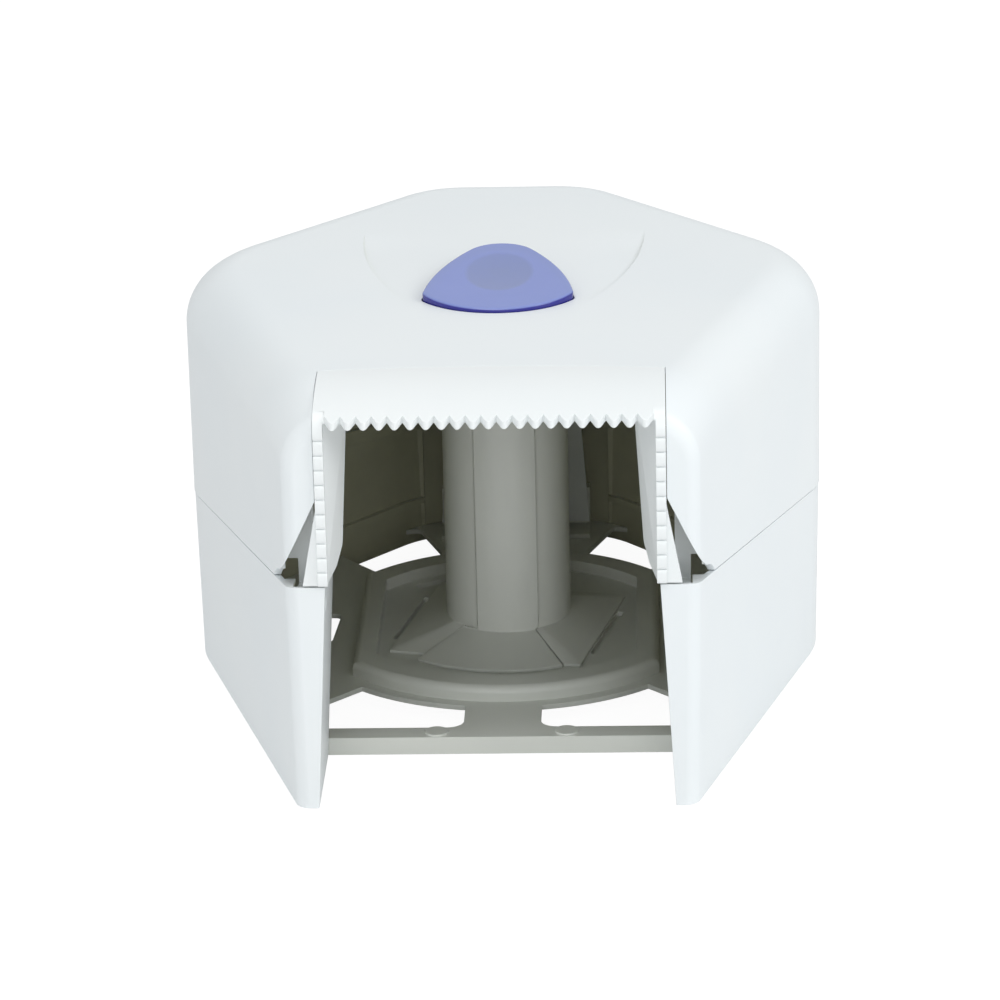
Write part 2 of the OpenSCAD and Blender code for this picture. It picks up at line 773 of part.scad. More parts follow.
module crossbar() {
    side = cheek_foot_in + cheek_t;
    translate([-side, -crossbar_reach, 0]) cube([side * 2, crossbar_d / 4, sheet_z]);
    translate([-side, -crossbar_reach, sheet_z - sheet_t]) cube([side * 2, crossbar_d, sheet_t]);
    translate([-side, crossbar_d * 3 / 4 - crossbar_reach, 0])
        cube([side * 2, crossbar_d / 4, sheet_z]);
    both_sides() translate([pad_span / 2, crossbar_d / 2 - crossbar_reach, sheet_z - sheet_t])
        cylinder(r = pad_r, h = sheet_t + pad_h, $fn = small_fn);
}

// Disc with a rounded upper edge
module rolled_disc(r, z0, z1, edge) {
    translate([0, 0, z0]) rotate_extrude($fn = round_fn) {
        square([r, z1 - z0 - edge]);
        square([r - edge, z1 - z0]);
        translate([r - edge, z1 - z0 - edge]) intersection() {
            circle(edge, $fn = small_fn);
            square(edge);
        }
    }
}

// Slab along Y with rounded upper edges
module rolled_slab(half_w, z0, z1, edge) {
    along(-hub_r, hub_r * 2) {
        translate([-half_w, z0]) square([half_w * 2, z1 - z0 - edge]);
        translate([edge - half_w, z0]) square([(half_w - edge) * 2, z1 - z0]);
        for (side = [-1, 1]) translate([side * (half_w - edge), z1 - edge])
            circle(edge, $fn = small_fn);
    }
}

module hub() {
    intersection() {
        rolled_disc(rim_r, sheet_z - sheet_t, rim_z, rim_edge_r);
        rolled_slab(rim_flat, sheet_z - sheet_t, rim_z, rim_edge_r);
    }
    difference() {
        cylinder(r = skirt_r, h = sheet_z, $fn = round_fn);
        translate([0, 0, -over]) cylinder(r = skirt_r - wall, h = sheet_z, $fn = round_fn);
    }
}

module hub_well() {
    intersection() {
        translate([0, 0, well_z]) cylinder(r = well_r, h = cover_z, $fn = round_fn);
        translate([-well_flat, -well_r, well_z]) cube([well_flat * 2, well_r * 2, cover_z]);
    }
}

// Four slots round the spindle's foot, and the pocket behind it
module foot_slots() {
    run = foot_half * foot_slot_share;
    rotate(foot_turn) for (a = [0, 90, 180]) rotate(a)
        translate([foot_half + lap, -run / 2, -over]) cube([slot_w, run, cover_z]);
    rotate(foot_turn + 135) translate([foot_half * foot_pocket_share, -foot_half / 4, -over])
        cube([foot_half / 4, foot_half / 2, cover_z]);
}

module wall_bosses() {
    for (y = [-wall_hole_y / 2, wall_hole_y / 2])
        z_rod([wall_hole_x / 2, y], 0, sheet_z, wall_boss_r);
}

module wall_holes() {
    for (y = [-wall_hole_y / 2, wall_hole_y / 2])
        z_rod([wall_hole_x / 2, y], -over, sheet_z + over * 2, wall_hole_r);
}

strike_screw_places = [for (side = [-1, 1])
    [side * nose_span * strike_screw_share, strike_reach - strike_t * (strike_foot_share / 2 + 1)]];

module strike_bosses() {
    for (at = strike_screw_places) z_rod(at, 0, sheet_z, screw_boss_r);
}

spindle_screw_places = concat(
    [for (a = [45, 135, 225]) foot_half * foot_screw_share * turn(foot_turn + a)],
    [(post_r + head_r * 2) * turn(petal_a)]);
foot_hole_h = post_wall * foot_hole_share;

module spindle_post() {
    color("#b4b6ab") placed() difference() {
        union() {
            rolled_disc(post_r, well_z, post_z, post_wall);
            hull() {
                rotate(foot_turn) translate([-foot_half, -foot_half, well_z])
                    cube([foot_half * 2, foot_half * 2, post_wall / 2]);
                translate([0, 0, foot_top_z - lap]) cylinder(r = post_r, h = lap, $fn = 32);
            }
        }
        translate([0, 0, well_z - over])
            cylinder(r = post_r - post_wall, h = post_z - well_z - post_wall + over, $fn = round_fn);
        petal_zone(post_r, hub_r, well_z - over, foot_top_z + lap * 2, petal_half_a + 1);
        for (at = spindle_screw_places) z_rod(at, well_z - over, foot_hole_h + over, screw_r);
    }
}

// Sector of a ring round the spindle's axis, facing the petal's way
module petal_zone(r0, r1, z0, z1, half_a) {
    rotate(petal_a - half_a) rotate_extrude(angle = half_a * 2, $fn = round_fn)
        translate([r0, z0]) square([r1 - r0, z1 - z0]);
}

// Key strip on the post and the petal below it, one turned profile cut back by flat planes
module spindle_key() {
    high_z = post_z - post_wall * 2;
    cut_z = foot_top_z + lap;
    color("#bcbeb3") placed() difference() {
        rotate(-90 - key_turn) rotate_extrude(angle = key_turn * 2, $fn = round_fn) polygon([
            [post_r, well_z], [petal_reach, well_z], [petal_reach, well_z + key_t],
            [post_r + key_t, foot_top_z], [post_r + key_t, high_z], [post_r, high_z]]);
        translate([-hub_r - key_left, -hub_r, cut_z - lap / 2]) cube([hub_r, hub_r, post_z]);
        translate([key_right, -hub_r, cut_z - lap / 2]) cube([hub_r, hub_r, post_z]);
        rotate(petal_a - petal_half_a) translate([0, -hub_r, 0]) cube([hub_r, hub_r, cut_z]);
        rotate(petal_a + petal_half_a) cube([hub_r, hub_r, cut_z]);
        z_rod(spindle_screw_places[3], well_z - over, foot_hole_h + over, screw_r);
    }
}

module spindle_screws() {
    color("#9aa0a4") placed() for (at = spindle_screw_places)
        screw(at, well_z - floor_t, 1, floor_t + foot_hole_h - over);
}

module strike_plate() {
    half = hook_foot_half;
    foot_l = strike_t * strike_foot_share;
    color("#9c9f92") placed() difference() {
        union() {
            translate([-half, strike_reach, sheet_z]) cube([half * 2, strike_t, strike_z - sheet_z]);
            translate([-half, strike_reach - foot_l + strike_t, sheet_z])
                cube([half * 2, foot_l, strike_t]);
            both_sides() translate([half - strike_t, strike_reach, sheet_z])
                cube([strike_t, strike_t * 3, strike_z - sheet_z]);
        }
        both_sides() translate([nose_span / 2 - nose_w / 2 - slide_gap * 2,
            strike_reach - over, hook_z + lap])
            cube([nose_w + slide_gap * 4, strike_t + over * 2, nose_h + slide_gap * 4]);
        for (at = strike_screw_places) z_rod(at, sheet_z - over, strike_t + over * 2, screw_r);
    }
}

module strike_screws() {
    color("#9aa0a4") placed() for (at = strike_screw_places)
        screw(at, sheet_z + strike_t, -1, sheet_z * strike_shank_share);
}

module hinge_pin() {
    x_rod(hinge_wall_x + lap, pin_end_x - hinge_wall_x - lap * 1.5, pin_r);
}

module hinge_pin_left() {
    color("#b8bcc0") placed() mirror([1, 0, 0]) hinge_pin();
}

module hinge_pin_right() {
    color("#b8bcc0") placed() hinge_pin();
}

module front_cover() {
    color("#f2f5f6") placed() {
        difference() {
            cover_form(0, -front_reach, parting_z / 4);
            cover_form(wall, wall - front_reach, parting_z / 4 - over);
            below_parting(-parting_gap);
            bar_seat();
            both_sides() corner_cut();
            both_sides() x_rod(cheek_in - over, body_w / 6, sweep_r);
            button_window();
            dish();
        }
        both_sides() hinge_arm();
        cover_bosses();
    }
}

function seam_y(x) = -bend_reach + seam_bow * (1 - pow(x / bar_half_w, 2));

// Outline seen from above of the insert, or of its seat when grown by gap
function bar_back(gap) = [for (i = [0 : edge_steps * 2])
    let (x = bar_half_w * (1 - i / edge_steps)) [x * (1 + gap / bar_half_w), seam_y(x) + gap]];

module bar_seat() {
    side = bar_half_w + seam_gap;
    linear_extrude(cover_z + over)
        polygon(concat([[-side, -front_reach - tooth_h * 2], [side, -front_reach - tooth_h * 2]],
            bar_back(seam_gap)));
}

module corner_cut() {
    x0 = bar_half_w - over;
    x1 = bar_half_w + seam_gap + corner_cut_w;
    along(-front_reach - over, corner_cut_d + over) polygon([
        [x0, 0], [x0, corner_cut_z], [bar_half_w + seam_gap, corner_cut_z],
        [x1, corner_cut_z - corner_cut_h], [x1 + corner_cut_w, corner_cut_z - corner_cut_h],
        [x1 + corner_cut_w, 0]]);
}

module button_window() {
    translate([0, 0, cover_in_z - over]) linear_extrude(wall + over * 2)
        polygon(wrap(button_shares, button_w, -button_gap, wrap_steps));
}

// Shallow recess whose floor is crowned from side to side
module dish() {
    half = dish_w / 2;
    crown_r = (half * half + dish_d * dish_d) / (dish_d * 2);
    difference() {
        translate([0, 0, cover_z - dish_d - lap]) linear_extrude(dish_d + lap + over)
            polygon(wrap(dish_shares, dish_w, 0, wrap_steps));
        translate([0, -dish_w, cover_z - crown_r]) rotate([-90, 0, 0])
            cylinder(r = crown_r, h = dish_w * 2, $fn = round_fn * 4);
    }
}

module hinge_arm() {
    low = hinge_z - arm_down;
    difference() {
        union() {
            across(ear_x, ear_w) {
                translate([-hinge_reach, hinge_z]) circle(ear_r, $fn = small_fn);
                translate([-hinge_reach, low]) square([arm_run + riser_t, arm_down + arm_up]);
                translate([arm_run - hinge_reach, low]) square([riser_t, riser_h + arm_down]);
            }
            intersection() {
                cover_form(wall - lap, -front_reach, parting_z / 2);
                translate([ear_x, arm_run - hinge_reach, hinge_z + gusset_up])
                    cube([body_w, riser_t, riser_h - gusset_up]);
            }
        }
        x_rod(ear_x - over, ear_w + over * 2, pin_r + pin_gap);
    }
}

housing_screw_places = [for (side = [-1, 1], y = housing_boss_y) [side * housing_screw_x / 2, y]];
guide_screw_places = [for (side = [-1, 1])
    [side * (strap_half + screw_boss_r + slide_gap * 3), guide_reach]];
bar_screw_places = [for (side = [-1, 0, 1])
    [side * bar_half_w * bar_screw_share, seam_y(0) + flange_w / 2 + seam_bow]];
flange_z = strap_z + strap_t;
guide_z = strap_z - slide_gap;

module cover_boss(at, z) {
    z_rod(at, z, cover_in_z - z + lap, screw_boss_r);
}

module cover_bosses() {
    difference() {
        union() {
            for (at = housing_screw_places) cover_boss(at, housing_z);
            for (at = guide_screw_places) cover_boss(at, guide_z);
            for (at = bar_screw_places) cover_boss(at, flange_z);
        }
        for (at = concat(housing_screw_places, guide_screw_places, bar_screw_places))
            z_rod(at, guide_z - over, cover_in_z - guide_z, screw_r);
    }
}

// How far a tooth stands out at x, in straight flanks from a sharp notch to a blunt round tip
function tooth_share(x) =
    let (past = 0.5 - abs(x / tooth_pitch - round(x / tooth_pitch)),
        low = flank_share - blunt_share, high = flank_share + blunt_share)
    past < low ? past / flank_share
    : past > high ? 1 : 1 - pow(high - past, 2) / (4 * blunt_share * flank_share);

// Front edge of the insert: a row of teeth between two plain corners
function tooth_edge() = let (half = teeth_n * tooth_pitch / 2, steps = teeth_n * 10) concat(
    [[-bar_half_w, -front_reach - tooth_h / 2]],
    [for (i = [0 : steps]) let (x = half * (2 * i / steps - 1))
        [x, -front_reach - tooth_h * tooth_share(x)]],
    [[bar_half_w, -front_reach - tooth_h / 2]]);

// The bent plate seen from the side, between two depths below the outside
module bend_section(high, low) {
    far = seam_bow + flange_w;
    difference() {
        union() {
            translate([-bend_reach, cover_z - bend_r]) circle(bend_r - high, $fn = round_fn * 2);
            translate([-bend_reach, cover_z - bend_r]) square([far, bend_r - high]);
        }
        translate([-bend_reach, cover_z - bend_r]) circle(bend_r - low, $fn = round_fn * 2);
        translate([-bend_reach, cover_z - bend_r * 2]) square([far + bend_r, bend_r * 2 - low]);
    }
}

module tear_bar() {
    color("#f2f5f6") placed() difference() {
        union() {
            intersection() {
                across(-bar_half_w, bar_half_w * 2) bend_section(0, bar_t);
                linear_extrude(cover_z + over) polygon(concat(tooth_edge(), bar_back(0)));
            }
            both_sides() intersection() {
                across(0, bar_half_w * 2) bend_section(lap / 4, bend_r);
                union() {
                    leg();
                    guide_wall();
                }
            }
            both_sides() flare();
            bar_flange();
        }
        both_sides() x_rod(cheek_in - over, body_w / 6, sweep_r);
        for (at = bar_screw_places)
            z_rod(at, flange_z - flange_t - over, flange_t + over * 2, screw_r);
    }
}

module leg() {
    face = -front_reach - leg_out;
    across(bar_half_w - leg_w, leg_w) difference() {
        translate([face, foot_z]) square([leg_d + leg_out, cover_z - foot_z]);
        for (z = [notch_top_z : -tooth_pitch : foot_z + tooth_pitch / 2])
            translate([face - over, z - notch_w / 2]) square([notch_d + over, notch_w]);
    }
}

// Outline seen from above of a guide wall whose rear edge is inner away from the middle
function guide_outline(inner) =
    let (p0 = [bar_half_w - leg_w, -front_reach - leg_out / 2],
        p1 = [inner, guide_run - front_reach],
        run = unit(p1 - p0), out = guide_t * [run[1], -run[0]])
    [p0, p1, p1 + out, p0 + out];

module guide_wall() {
    front = -front_reach - guide_run;
    back = guide_run - front_reach;
    high = cover_z + guide_run;
    intersection() {
        hull() {
            translate([0, 0, foot_z]) linear_extrude(lap) polygon(guide_outline(guide_in + guide_lean));
            translate([0, 0, cover_z - lap]) linear_extrude(lap) polygon(guide_outline(guide_in));
        }
        across(0, bar_half_w) polygon(rounded([[front, foot_z], [-front_reach, foot_z],
            [back - guide_slant, foot_z + guide_rise * guide_step_share],
            [back, foot_z + guide_rise], [back, high], [front, high]], guide_round, 5));
    }
}

module flare() {
    along(-front_reach, wall) polygon([
        [bar_half_w - lap, foot_z], [bar_half_w + flare_w, foot_z],
        [bar_half_w - lap, foot_z + flare_h]]);
}

// Web and flange that run back under the cover and take the screws
module bar_flange() {
    y0 = seam_y(0) - bar_t - seam_bow;
    half = bar_half_w * bar_flange_share;
    translate([-half, y0, flange_z - flange_t])
        cube([half * 2, bar_t, cover_z - bar_t / 2 - flange_z + flange_t]);
    translate([-half, y0, flange_z - flange_t])
        cube([half * 2, flange_w + seam_bow + bar_t, flange_t]);
}

module tear_bar_screws() {
    color("#9aa0a4") placed() for (at = bar_screw_places)
        screw(at, flange_z - flange_t, 1, flange_t + screw_boss_r);
}

function button_tilt(y) = button_tilt_h * (y + button_front) / (button_front + button_back);
function button_ring(inset, z, tilt, rise) =
    [for (p = wrap(button_shares, button_w, inset, wrap_steps))
        [p[0], p[1], z + tilt * button_tilt(p[1]) + rise]];

module lock_button() {
    post_at = [0, plunger_y];
    color("#7d86c9") placed() {
        difference() {
            ringed_solid(concat(
                [button_ring(0, button_low_z, 0, 0), button_ring(0, button_z, 1, 0)],
                [for (i = [1 : edge_steps]) let (a = 90 * i / edge_steps)
                    button_ring(button_roll * (1 - cos(a)), button_z, 1, button_dome * sin(a))]));
            translate([0, 0, button_low_z - over]) linear_extrude(cover_z - button_low_z + over)
                polygon(wrap(button_shares, button_w, wall, wrap_steps));
            dimple();
        }
        translate([0, 0, button_low_z]) linear_extrude(button_rim_t) difference() {
            polygon(wrap(button_shares, button_w, -button_rim_w, wrap_steps));
            polygon(wrap(button_shares, button_w, wall - lap, wrap_steps));
        }
        difference() {
            z_rod(post_at, plunger_top_z, cover_z - plunger_top_z + lap, screw_boss_r);
            z_rod(post_at, plunger_top_z - over, cover_z - plunger_top_z + over, screw_r);
        }
    }
}

module dimple() {
    ball_r = (dimple_r * dimple_r + dimple_d * dimple_d) / (dimple_d * 2);
    tilt_a = atan(button_tilt_h / (button_front + button_back));
    face_z = button_z + button_tilt(plunger_y) + button_dome;
    translate([0, plunger_y, face_z]) rotate([tilt_a, 0, 0])
        translate([0, 0, ball_r - dimple_d]) sphere(r = ball_r, $fn = round_fn * 4);
}

module button_plunger() {
    color("#e4e7e8") placed() difference() {
        union() {
            translate([-plunger_half, plunger_front, plunger_low_z])
                cube([plunger_half * 2, plunger_l, plunger_top_z - plunger_low_z]);
            translate([-fork_out, plunger_y, peg_z]) rotate([0, 90, 0])
                cylinder(r = peg_r, h = fork_out * 2, $fn = small_fn);
        }
        z_rod([0, plunger_y], plunger_low_z - over, pocket_h + over, spring_r + wire_r * 3);
        z_rod([0, plunger_y], plunger_low_z, plunger_top_z - plunger_low_z + over, screw_r);
        z_rod([0, plunger_y], plunger_low_z + pocket_h - over, head_h + over * 2, head_r + lap / 2);
    }
}

module button_screw() {
    z = plunger_low_z + pocket_h + head_h + over;
    color("#9aa0a4") placed() screw([0, plunger_y], z, 1, plunger_top_z - z + wall);
}

// One unbroken helix whose ends lie level
spring_rings = spring_turns * 8;
function spring_point(i) = let (t = i / spring_rings, h = spring_len - wire_r * 2)
    [spring_r * cos(360 * spring_turns * t), spring_r * sin(360 * spring_turns * t),
        housing_floor_z + wire_r + h * t];
spring_gap = min([for (i = [0 : spring_rings - 8])
    norm(spring_point(i + 8) - spring_point(i)) - wire_r * 2]);
echo(spring_least_gap = spring_gap);

module button_spring() {
    sides = 6;
    n = spring_rings + 1;
    points = [for (i = [0 : spring_rings])
        let (c = spring_point(i), a = 360 * spring_turns * i / spring_rings)
        for (k = [0 : sides - 1]) let (b = 360 * k / sides)
        c + wire_r * [cos(b) * cos(a), cos(b) * sin(a), sin(b)]];
    skin = [for (i = [0 : n - 2], k = [0 : sides - 1]) let (j = (k + 1) % sides)
        each [[i * sides + k, (i + 1) * sides + k, (i + 1) * sides + j],
            [i * sides + k, (i + 1) * sides + j, i * sides + j]]];
    color("#b8bcc0") placed() translate([0, plunger_y, 0]) polyhedron(points = points,
        faces = concat([[for (k = [0 : sides - 1]) k]], skin,
            [[for (k = [sides - 1 : -1 : 0]) (n - 1) * sides + k]]));
}

module latch_housing() {
    side_h = housing_h + housing_t;
    low_z = housing_floor_z - housing_t;
    stop_y = plunger_front + plunger_l + slide_gap;
    color("#dfe3e4") placed() difference() {
        union() {
            difference() {
                translate([-housing_half, housing_y, housing_z - housing_t])
                    cube([housing_half * 2, housing_l, housing_t]);
                translate([-housing_in, housing_y - over, housing_z - housing_t - over])
                    cube([housing_in * 2, housing_l + over * 2, housing_t + over * 2]);
            }
            both_sides() translate([housing_in, housing_y, low_z])
                cube([housing_t, housing_l, side_h]);
            translate([-housing_in - housing_t, housing_y, low_z])
                cube([(housing_in + housing_t) * 2, housing_l, housing_t]);
            translate([-housing_in - housing_t, housing_y, low_z])
                cube([(housing_in + housing_t) * 2, housing_t, side_h]);
            translate([-plunger_half, plunger_front - slide_gap - housing_t, low_z])
                cube([plunger_half * 2, housing_t, side_h]);
            translate([-plunger_half, stop_y, low_z]) cube([plunger_half * 2, housing_t, side_h]);
        }
        for (at = housing_screw_places)
            z_rod(at, housing_z - housing_t - over, housing_t + over * 2, screw_r);
    }
}

module latch_housing_screws() {
    color("#9aa0a4") placed() for (at = housing_screw_places)
        screw(at, housing_z - housing_t, 1, housing_t + screw_boss_r);
}

// Side plate of the fork, with the slanted slot that a peg rides in
module fork_plate() {
    slot_r = peg_r + peg_gap;
    low = housing_floor_z + slide_gap;
    difference() {
        translate([fork_in, plunger_front, low])
            cube([fork_t, riser_y + strap_t - plunger_front, fork_high_z - low]);
        translate([fork_in - over, plunger_y, peg_z]) rotate([0, 90, 0]) {
            cylinder(r = slot_r, h = fork_t + over * 2, $fn = small_fn);
            translate([press, press, 0]) cylinder(r = slot_r, h = fork_t + over * 2, $fn = small_fn);
            rotate([0, 0, 45]) translate([0, -slot_r, 0])
                cube([press * sqrt(2), slot_r * 2, fork_t + over * 2]);
        }
    }
}

module latch_strap() {
    low = housing_floor_z + slide_gap;
    color("#d9dddf") placed() difference() {
        union() {
            both_sides() fork_plate();
            translate([-fork_out, riser_y, low]) cube([fork_out * 2, strap_t, strap_z + strap_t - low]);
            translate([-strap_half, riser_y, strap_z])
                cube([strap_half * 2, hook_reach - riser_y, strap_t]);
        }
        for (at = hook_screw_places) z_rod(at, strap_z - over, strap_t + over * 2, screw_r);
    }
}

hook_screw_places = [for (side = [-1, 1])
    [side * strap_half / 2, hook_reach - hook_flange_l / 2]];

module latch_hook() {
    color("#d9dddf") placed() {
        along(hook_reach, hook_t) polygon([
            [-hook_foot_half, hook_z], [hook_foot_half, hook_z],
            [hook_head_half, strap_z + strap_t], [-hook_head_half, strap_z + strap_t]]);
        difference() {
            translate([-strap_half, hook_flange_y, strap_z - strap_t])
                cube([strap_half * 2, hook_flange_l + lap, strap_t]);
            for (at = hook_screw_places)
                z_rod(at, strap_z - strap_t - over, strap_t + over * 2, screw_r);
        }
        both_sides() nose();
        both_sides() translate([strap_half - hook_t, hook_reach - hook_t * 2, hook_z])
            cube([hook_t, hook_t * 2 + lap, strap_z - strap_t - hook_z + lap]);
    }
}

// Nose with a slanted underside that rides over the strike plate as the cover closes
module nose() {
    y0 = hook_reach + hook_t - lap;
    y1 = hook_reach + hook_t + nose_reach;
    z0 = hook_z + lap * 2;
    across(nose_span / 2 - nose_w / 2, nose_w) polygon([
        [y0, z0], [y0 + nose_reach / 3, z0], [y1, z0 + nose_h * nose_slope_share],
        [y1, z0 + nose_h], [y0, z0 + nose_h]]);
}

module latch_hook_screws() {
    color("#9aa0a4") placed() for (at = hook_screw_places)
        screw(at, strap_z - strap_t, 1, strap_t * 2);
}

module latch_guide() {
    color("#dfe3e4") placed() difference() {
        translate([-guide_half, guide_reach - guide_l / 2, guide_z - housing_t])
            cube([guide_half * 2, guide_l, housing_t]);
        for (at = guide_screw_places)
            z_rod(at, guide_z - housing_t - over, housing_t + over * 2, screw_r);
    }
}

module latch_guide_screws() {
    color("#9aa0a4") placed() for (at = guide_screw_places)
        screw(at, guide_z - housing_t, 1, housing_t + screw_boss_r);
}

rear_housing();
back_plate();
plate_screws();
spindle_post();
spindle_key();
spindle_screws();
strike_plate();
strike_screws();
hinge_pin_left();
hinge_pin_right();
front_cover();
tear_bar();
tear_bar_screws();
lock_button();
button_plunger();
button_screw();
button_spring();
latch_housing();
latch_housing_screws();
latch_strap();
latch_hook();
latch_hook_screws();
latch_guide();
latch_guide_screws();
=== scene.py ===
# %% [markdown]
# This is a wall dispenser for jumbo toilet rolls. It lies on its back, so that the wall side is
# down and the paper outlet faces the camera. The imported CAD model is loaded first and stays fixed.
# Every piece made below stands for one of its solids, and rides on the same body, so the cover
# still opens and the button still presses.

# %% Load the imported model
import json
from contextlib import contextmanager
from math import acos, atan, atan2, cos, degrees, hypot, pi, radians, sin, sqrt, tan

import bmesh
import bpy
import numpy as np
from mathutils import Matrix, Vector
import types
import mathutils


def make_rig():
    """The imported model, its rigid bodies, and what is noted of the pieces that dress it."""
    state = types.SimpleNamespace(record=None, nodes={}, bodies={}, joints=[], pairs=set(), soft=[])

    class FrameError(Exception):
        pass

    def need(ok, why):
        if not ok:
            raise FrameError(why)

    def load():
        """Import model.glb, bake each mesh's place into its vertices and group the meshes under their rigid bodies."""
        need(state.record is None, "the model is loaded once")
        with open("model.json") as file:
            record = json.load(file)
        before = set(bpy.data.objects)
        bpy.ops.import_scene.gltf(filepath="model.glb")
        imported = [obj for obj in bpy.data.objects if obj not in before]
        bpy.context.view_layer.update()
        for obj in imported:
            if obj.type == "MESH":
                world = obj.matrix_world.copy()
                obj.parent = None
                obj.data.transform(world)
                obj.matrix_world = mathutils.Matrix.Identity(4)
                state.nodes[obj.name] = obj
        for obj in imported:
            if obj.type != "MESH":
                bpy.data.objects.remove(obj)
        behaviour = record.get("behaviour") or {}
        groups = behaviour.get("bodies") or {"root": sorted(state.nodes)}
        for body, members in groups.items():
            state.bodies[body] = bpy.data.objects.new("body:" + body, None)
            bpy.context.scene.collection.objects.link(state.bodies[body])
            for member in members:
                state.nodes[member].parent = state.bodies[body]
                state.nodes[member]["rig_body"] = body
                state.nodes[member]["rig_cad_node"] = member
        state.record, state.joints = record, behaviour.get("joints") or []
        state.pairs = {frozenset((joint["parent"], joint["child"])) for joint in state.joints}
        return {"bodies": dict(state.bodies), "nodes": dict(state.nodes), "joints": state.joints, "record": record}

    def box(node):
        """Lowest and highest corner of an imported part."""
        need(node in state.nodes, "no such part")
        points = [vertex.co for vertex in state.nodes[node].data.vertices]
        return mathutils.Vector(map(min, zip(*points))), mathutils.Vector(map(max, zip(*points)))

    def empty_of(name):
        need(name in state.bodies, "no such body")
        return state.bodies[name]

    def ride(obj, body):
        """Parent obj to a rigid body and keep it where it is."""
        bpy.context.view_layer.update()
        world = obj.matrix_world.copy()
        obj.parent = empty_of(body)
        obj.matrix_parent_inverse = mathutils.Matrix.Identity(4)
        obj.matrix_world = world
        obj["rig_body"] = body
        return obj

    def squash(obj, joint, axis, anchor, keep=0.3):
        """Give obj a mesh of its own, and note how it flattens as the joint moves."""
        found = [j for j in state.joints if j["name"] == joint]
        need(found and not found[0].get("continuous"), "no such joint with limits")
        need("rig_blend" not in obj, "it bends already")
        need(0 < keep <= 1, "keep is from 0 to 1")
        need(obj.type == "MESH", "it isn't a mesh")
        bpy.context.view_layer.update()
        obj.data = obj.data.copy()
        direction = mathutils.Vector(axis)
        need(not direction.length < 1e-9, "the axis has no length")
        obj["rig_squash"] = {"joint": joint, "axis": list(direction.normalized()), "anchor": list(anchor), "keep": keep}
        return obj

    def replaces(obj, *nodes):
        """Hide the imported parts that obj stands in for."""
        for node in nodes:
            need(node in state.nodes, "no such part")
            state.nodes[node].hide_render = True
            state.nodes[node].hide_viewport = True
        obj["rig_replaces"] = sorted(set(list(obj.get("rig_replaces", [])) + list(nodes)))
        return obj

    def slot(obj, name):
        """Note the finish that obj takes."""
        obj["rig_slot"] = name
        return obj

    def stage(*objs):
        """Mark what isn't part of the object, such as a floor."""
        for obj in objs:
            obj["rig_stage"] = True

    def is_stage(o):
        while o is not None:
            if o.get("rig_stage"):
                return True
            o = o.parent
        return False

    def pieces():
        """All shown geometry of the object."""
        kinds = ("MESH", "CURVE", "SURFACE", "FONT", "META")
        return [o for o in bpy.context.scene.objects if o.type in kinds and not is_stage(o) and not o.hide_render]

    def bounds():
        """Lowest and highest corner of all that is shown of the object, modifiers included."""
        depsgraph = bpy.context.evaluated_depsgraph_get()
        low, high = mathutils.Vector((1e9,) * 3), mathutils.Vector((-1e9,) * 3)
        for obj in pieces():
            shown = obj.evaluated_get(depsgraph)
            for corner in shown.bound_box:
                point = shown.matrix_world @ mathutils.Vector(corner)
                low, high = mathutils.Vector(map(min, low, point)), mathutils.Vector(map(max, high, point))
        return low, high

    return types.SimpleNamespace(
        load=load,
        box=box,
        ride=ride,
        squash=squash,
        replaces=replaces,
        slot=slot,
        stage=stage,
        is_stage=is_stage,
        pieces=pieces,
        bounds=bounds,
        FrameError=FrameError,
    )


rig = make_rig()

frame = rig.load()
cad_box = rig.bounds()
BODY_OF = {node: body for body, nodes in frame["record"]["behaviour"]["bodies"].items()
           for node in nodes}
print("solids:", len(BODY_OF), "bodies:", sorted(frame["bodies"]))

# %% [markdown]
# The camera stands where the photograph was taken: a long lens, low in front of the outlet, a
# little to the right and turned back. Its place and turns were worked out from straight edges
# whose real sizes are known.

# %% Camera
CAMERA_AT = Vector((0.0575, -1.60825, 0.64344))
CAMERA_YAW, CAMERA_PITCH, CAMERA_ROLL = radians(-2.113), radians(19.754), radians(-1.341)
LENS_MM, SENSOR_MM = 162, 36


def placed(name, data):
    """A new object in the scene."""
    made = bpy.data.objects.new(name, data)
    bpy.context.scene.collection.objects.link(made)
    return made


def camera_axes(yaw, pitch, roll):
    """Right, up and forward of a camera that first looks along +Y."""
    forward = Vector((sin(yaw) * cos(pitch), cos(yaw) * cos(pitch), -sin(pitch)))
    right = Vector((cos(yaw), -sin(yaw), 0))
    up = right.cross(forward)
    return right * cos(roll) + up * sin(roll), up * cos(roll) - right * sin(roll), forward


def make_camera():
    right, up, forward = camera_axes(CAMERA_YAW, CAMERA_PITCH, CAMERA_ROLL)
    data = bpy.data.cameras.new("outlet_camera")
    data.lens, data.sensor_width, data.clip_start, data.clip_end = LENS_MM, SENSOR_MM, 0.05, 50
    camera = placed("outlet_camera", data)
    turned_to = Matrix((right, up, -forward)).transposed().to_4x4()
    camera.matrix_world = Matrix.Translation(CAMERA_AT) @ turned_to
    bpy.context.scene.camera = camera
    return camera


bpy.context.scene.view_settings.view_transform = "Standard"
camera = make_camera()
print("camera at", tuple(round(c, 3) for c in CAMERA_AT))

# %% [markdown]
# Shader maths is easier to read as sums. A Wire holds one output socket, and adding or
# multiplying two Wires makes the Math node that does it. A Tree makes any other node, and a
# Finish is a material whose tree holds one Principled shader.

# %% Wires, trees and finishes


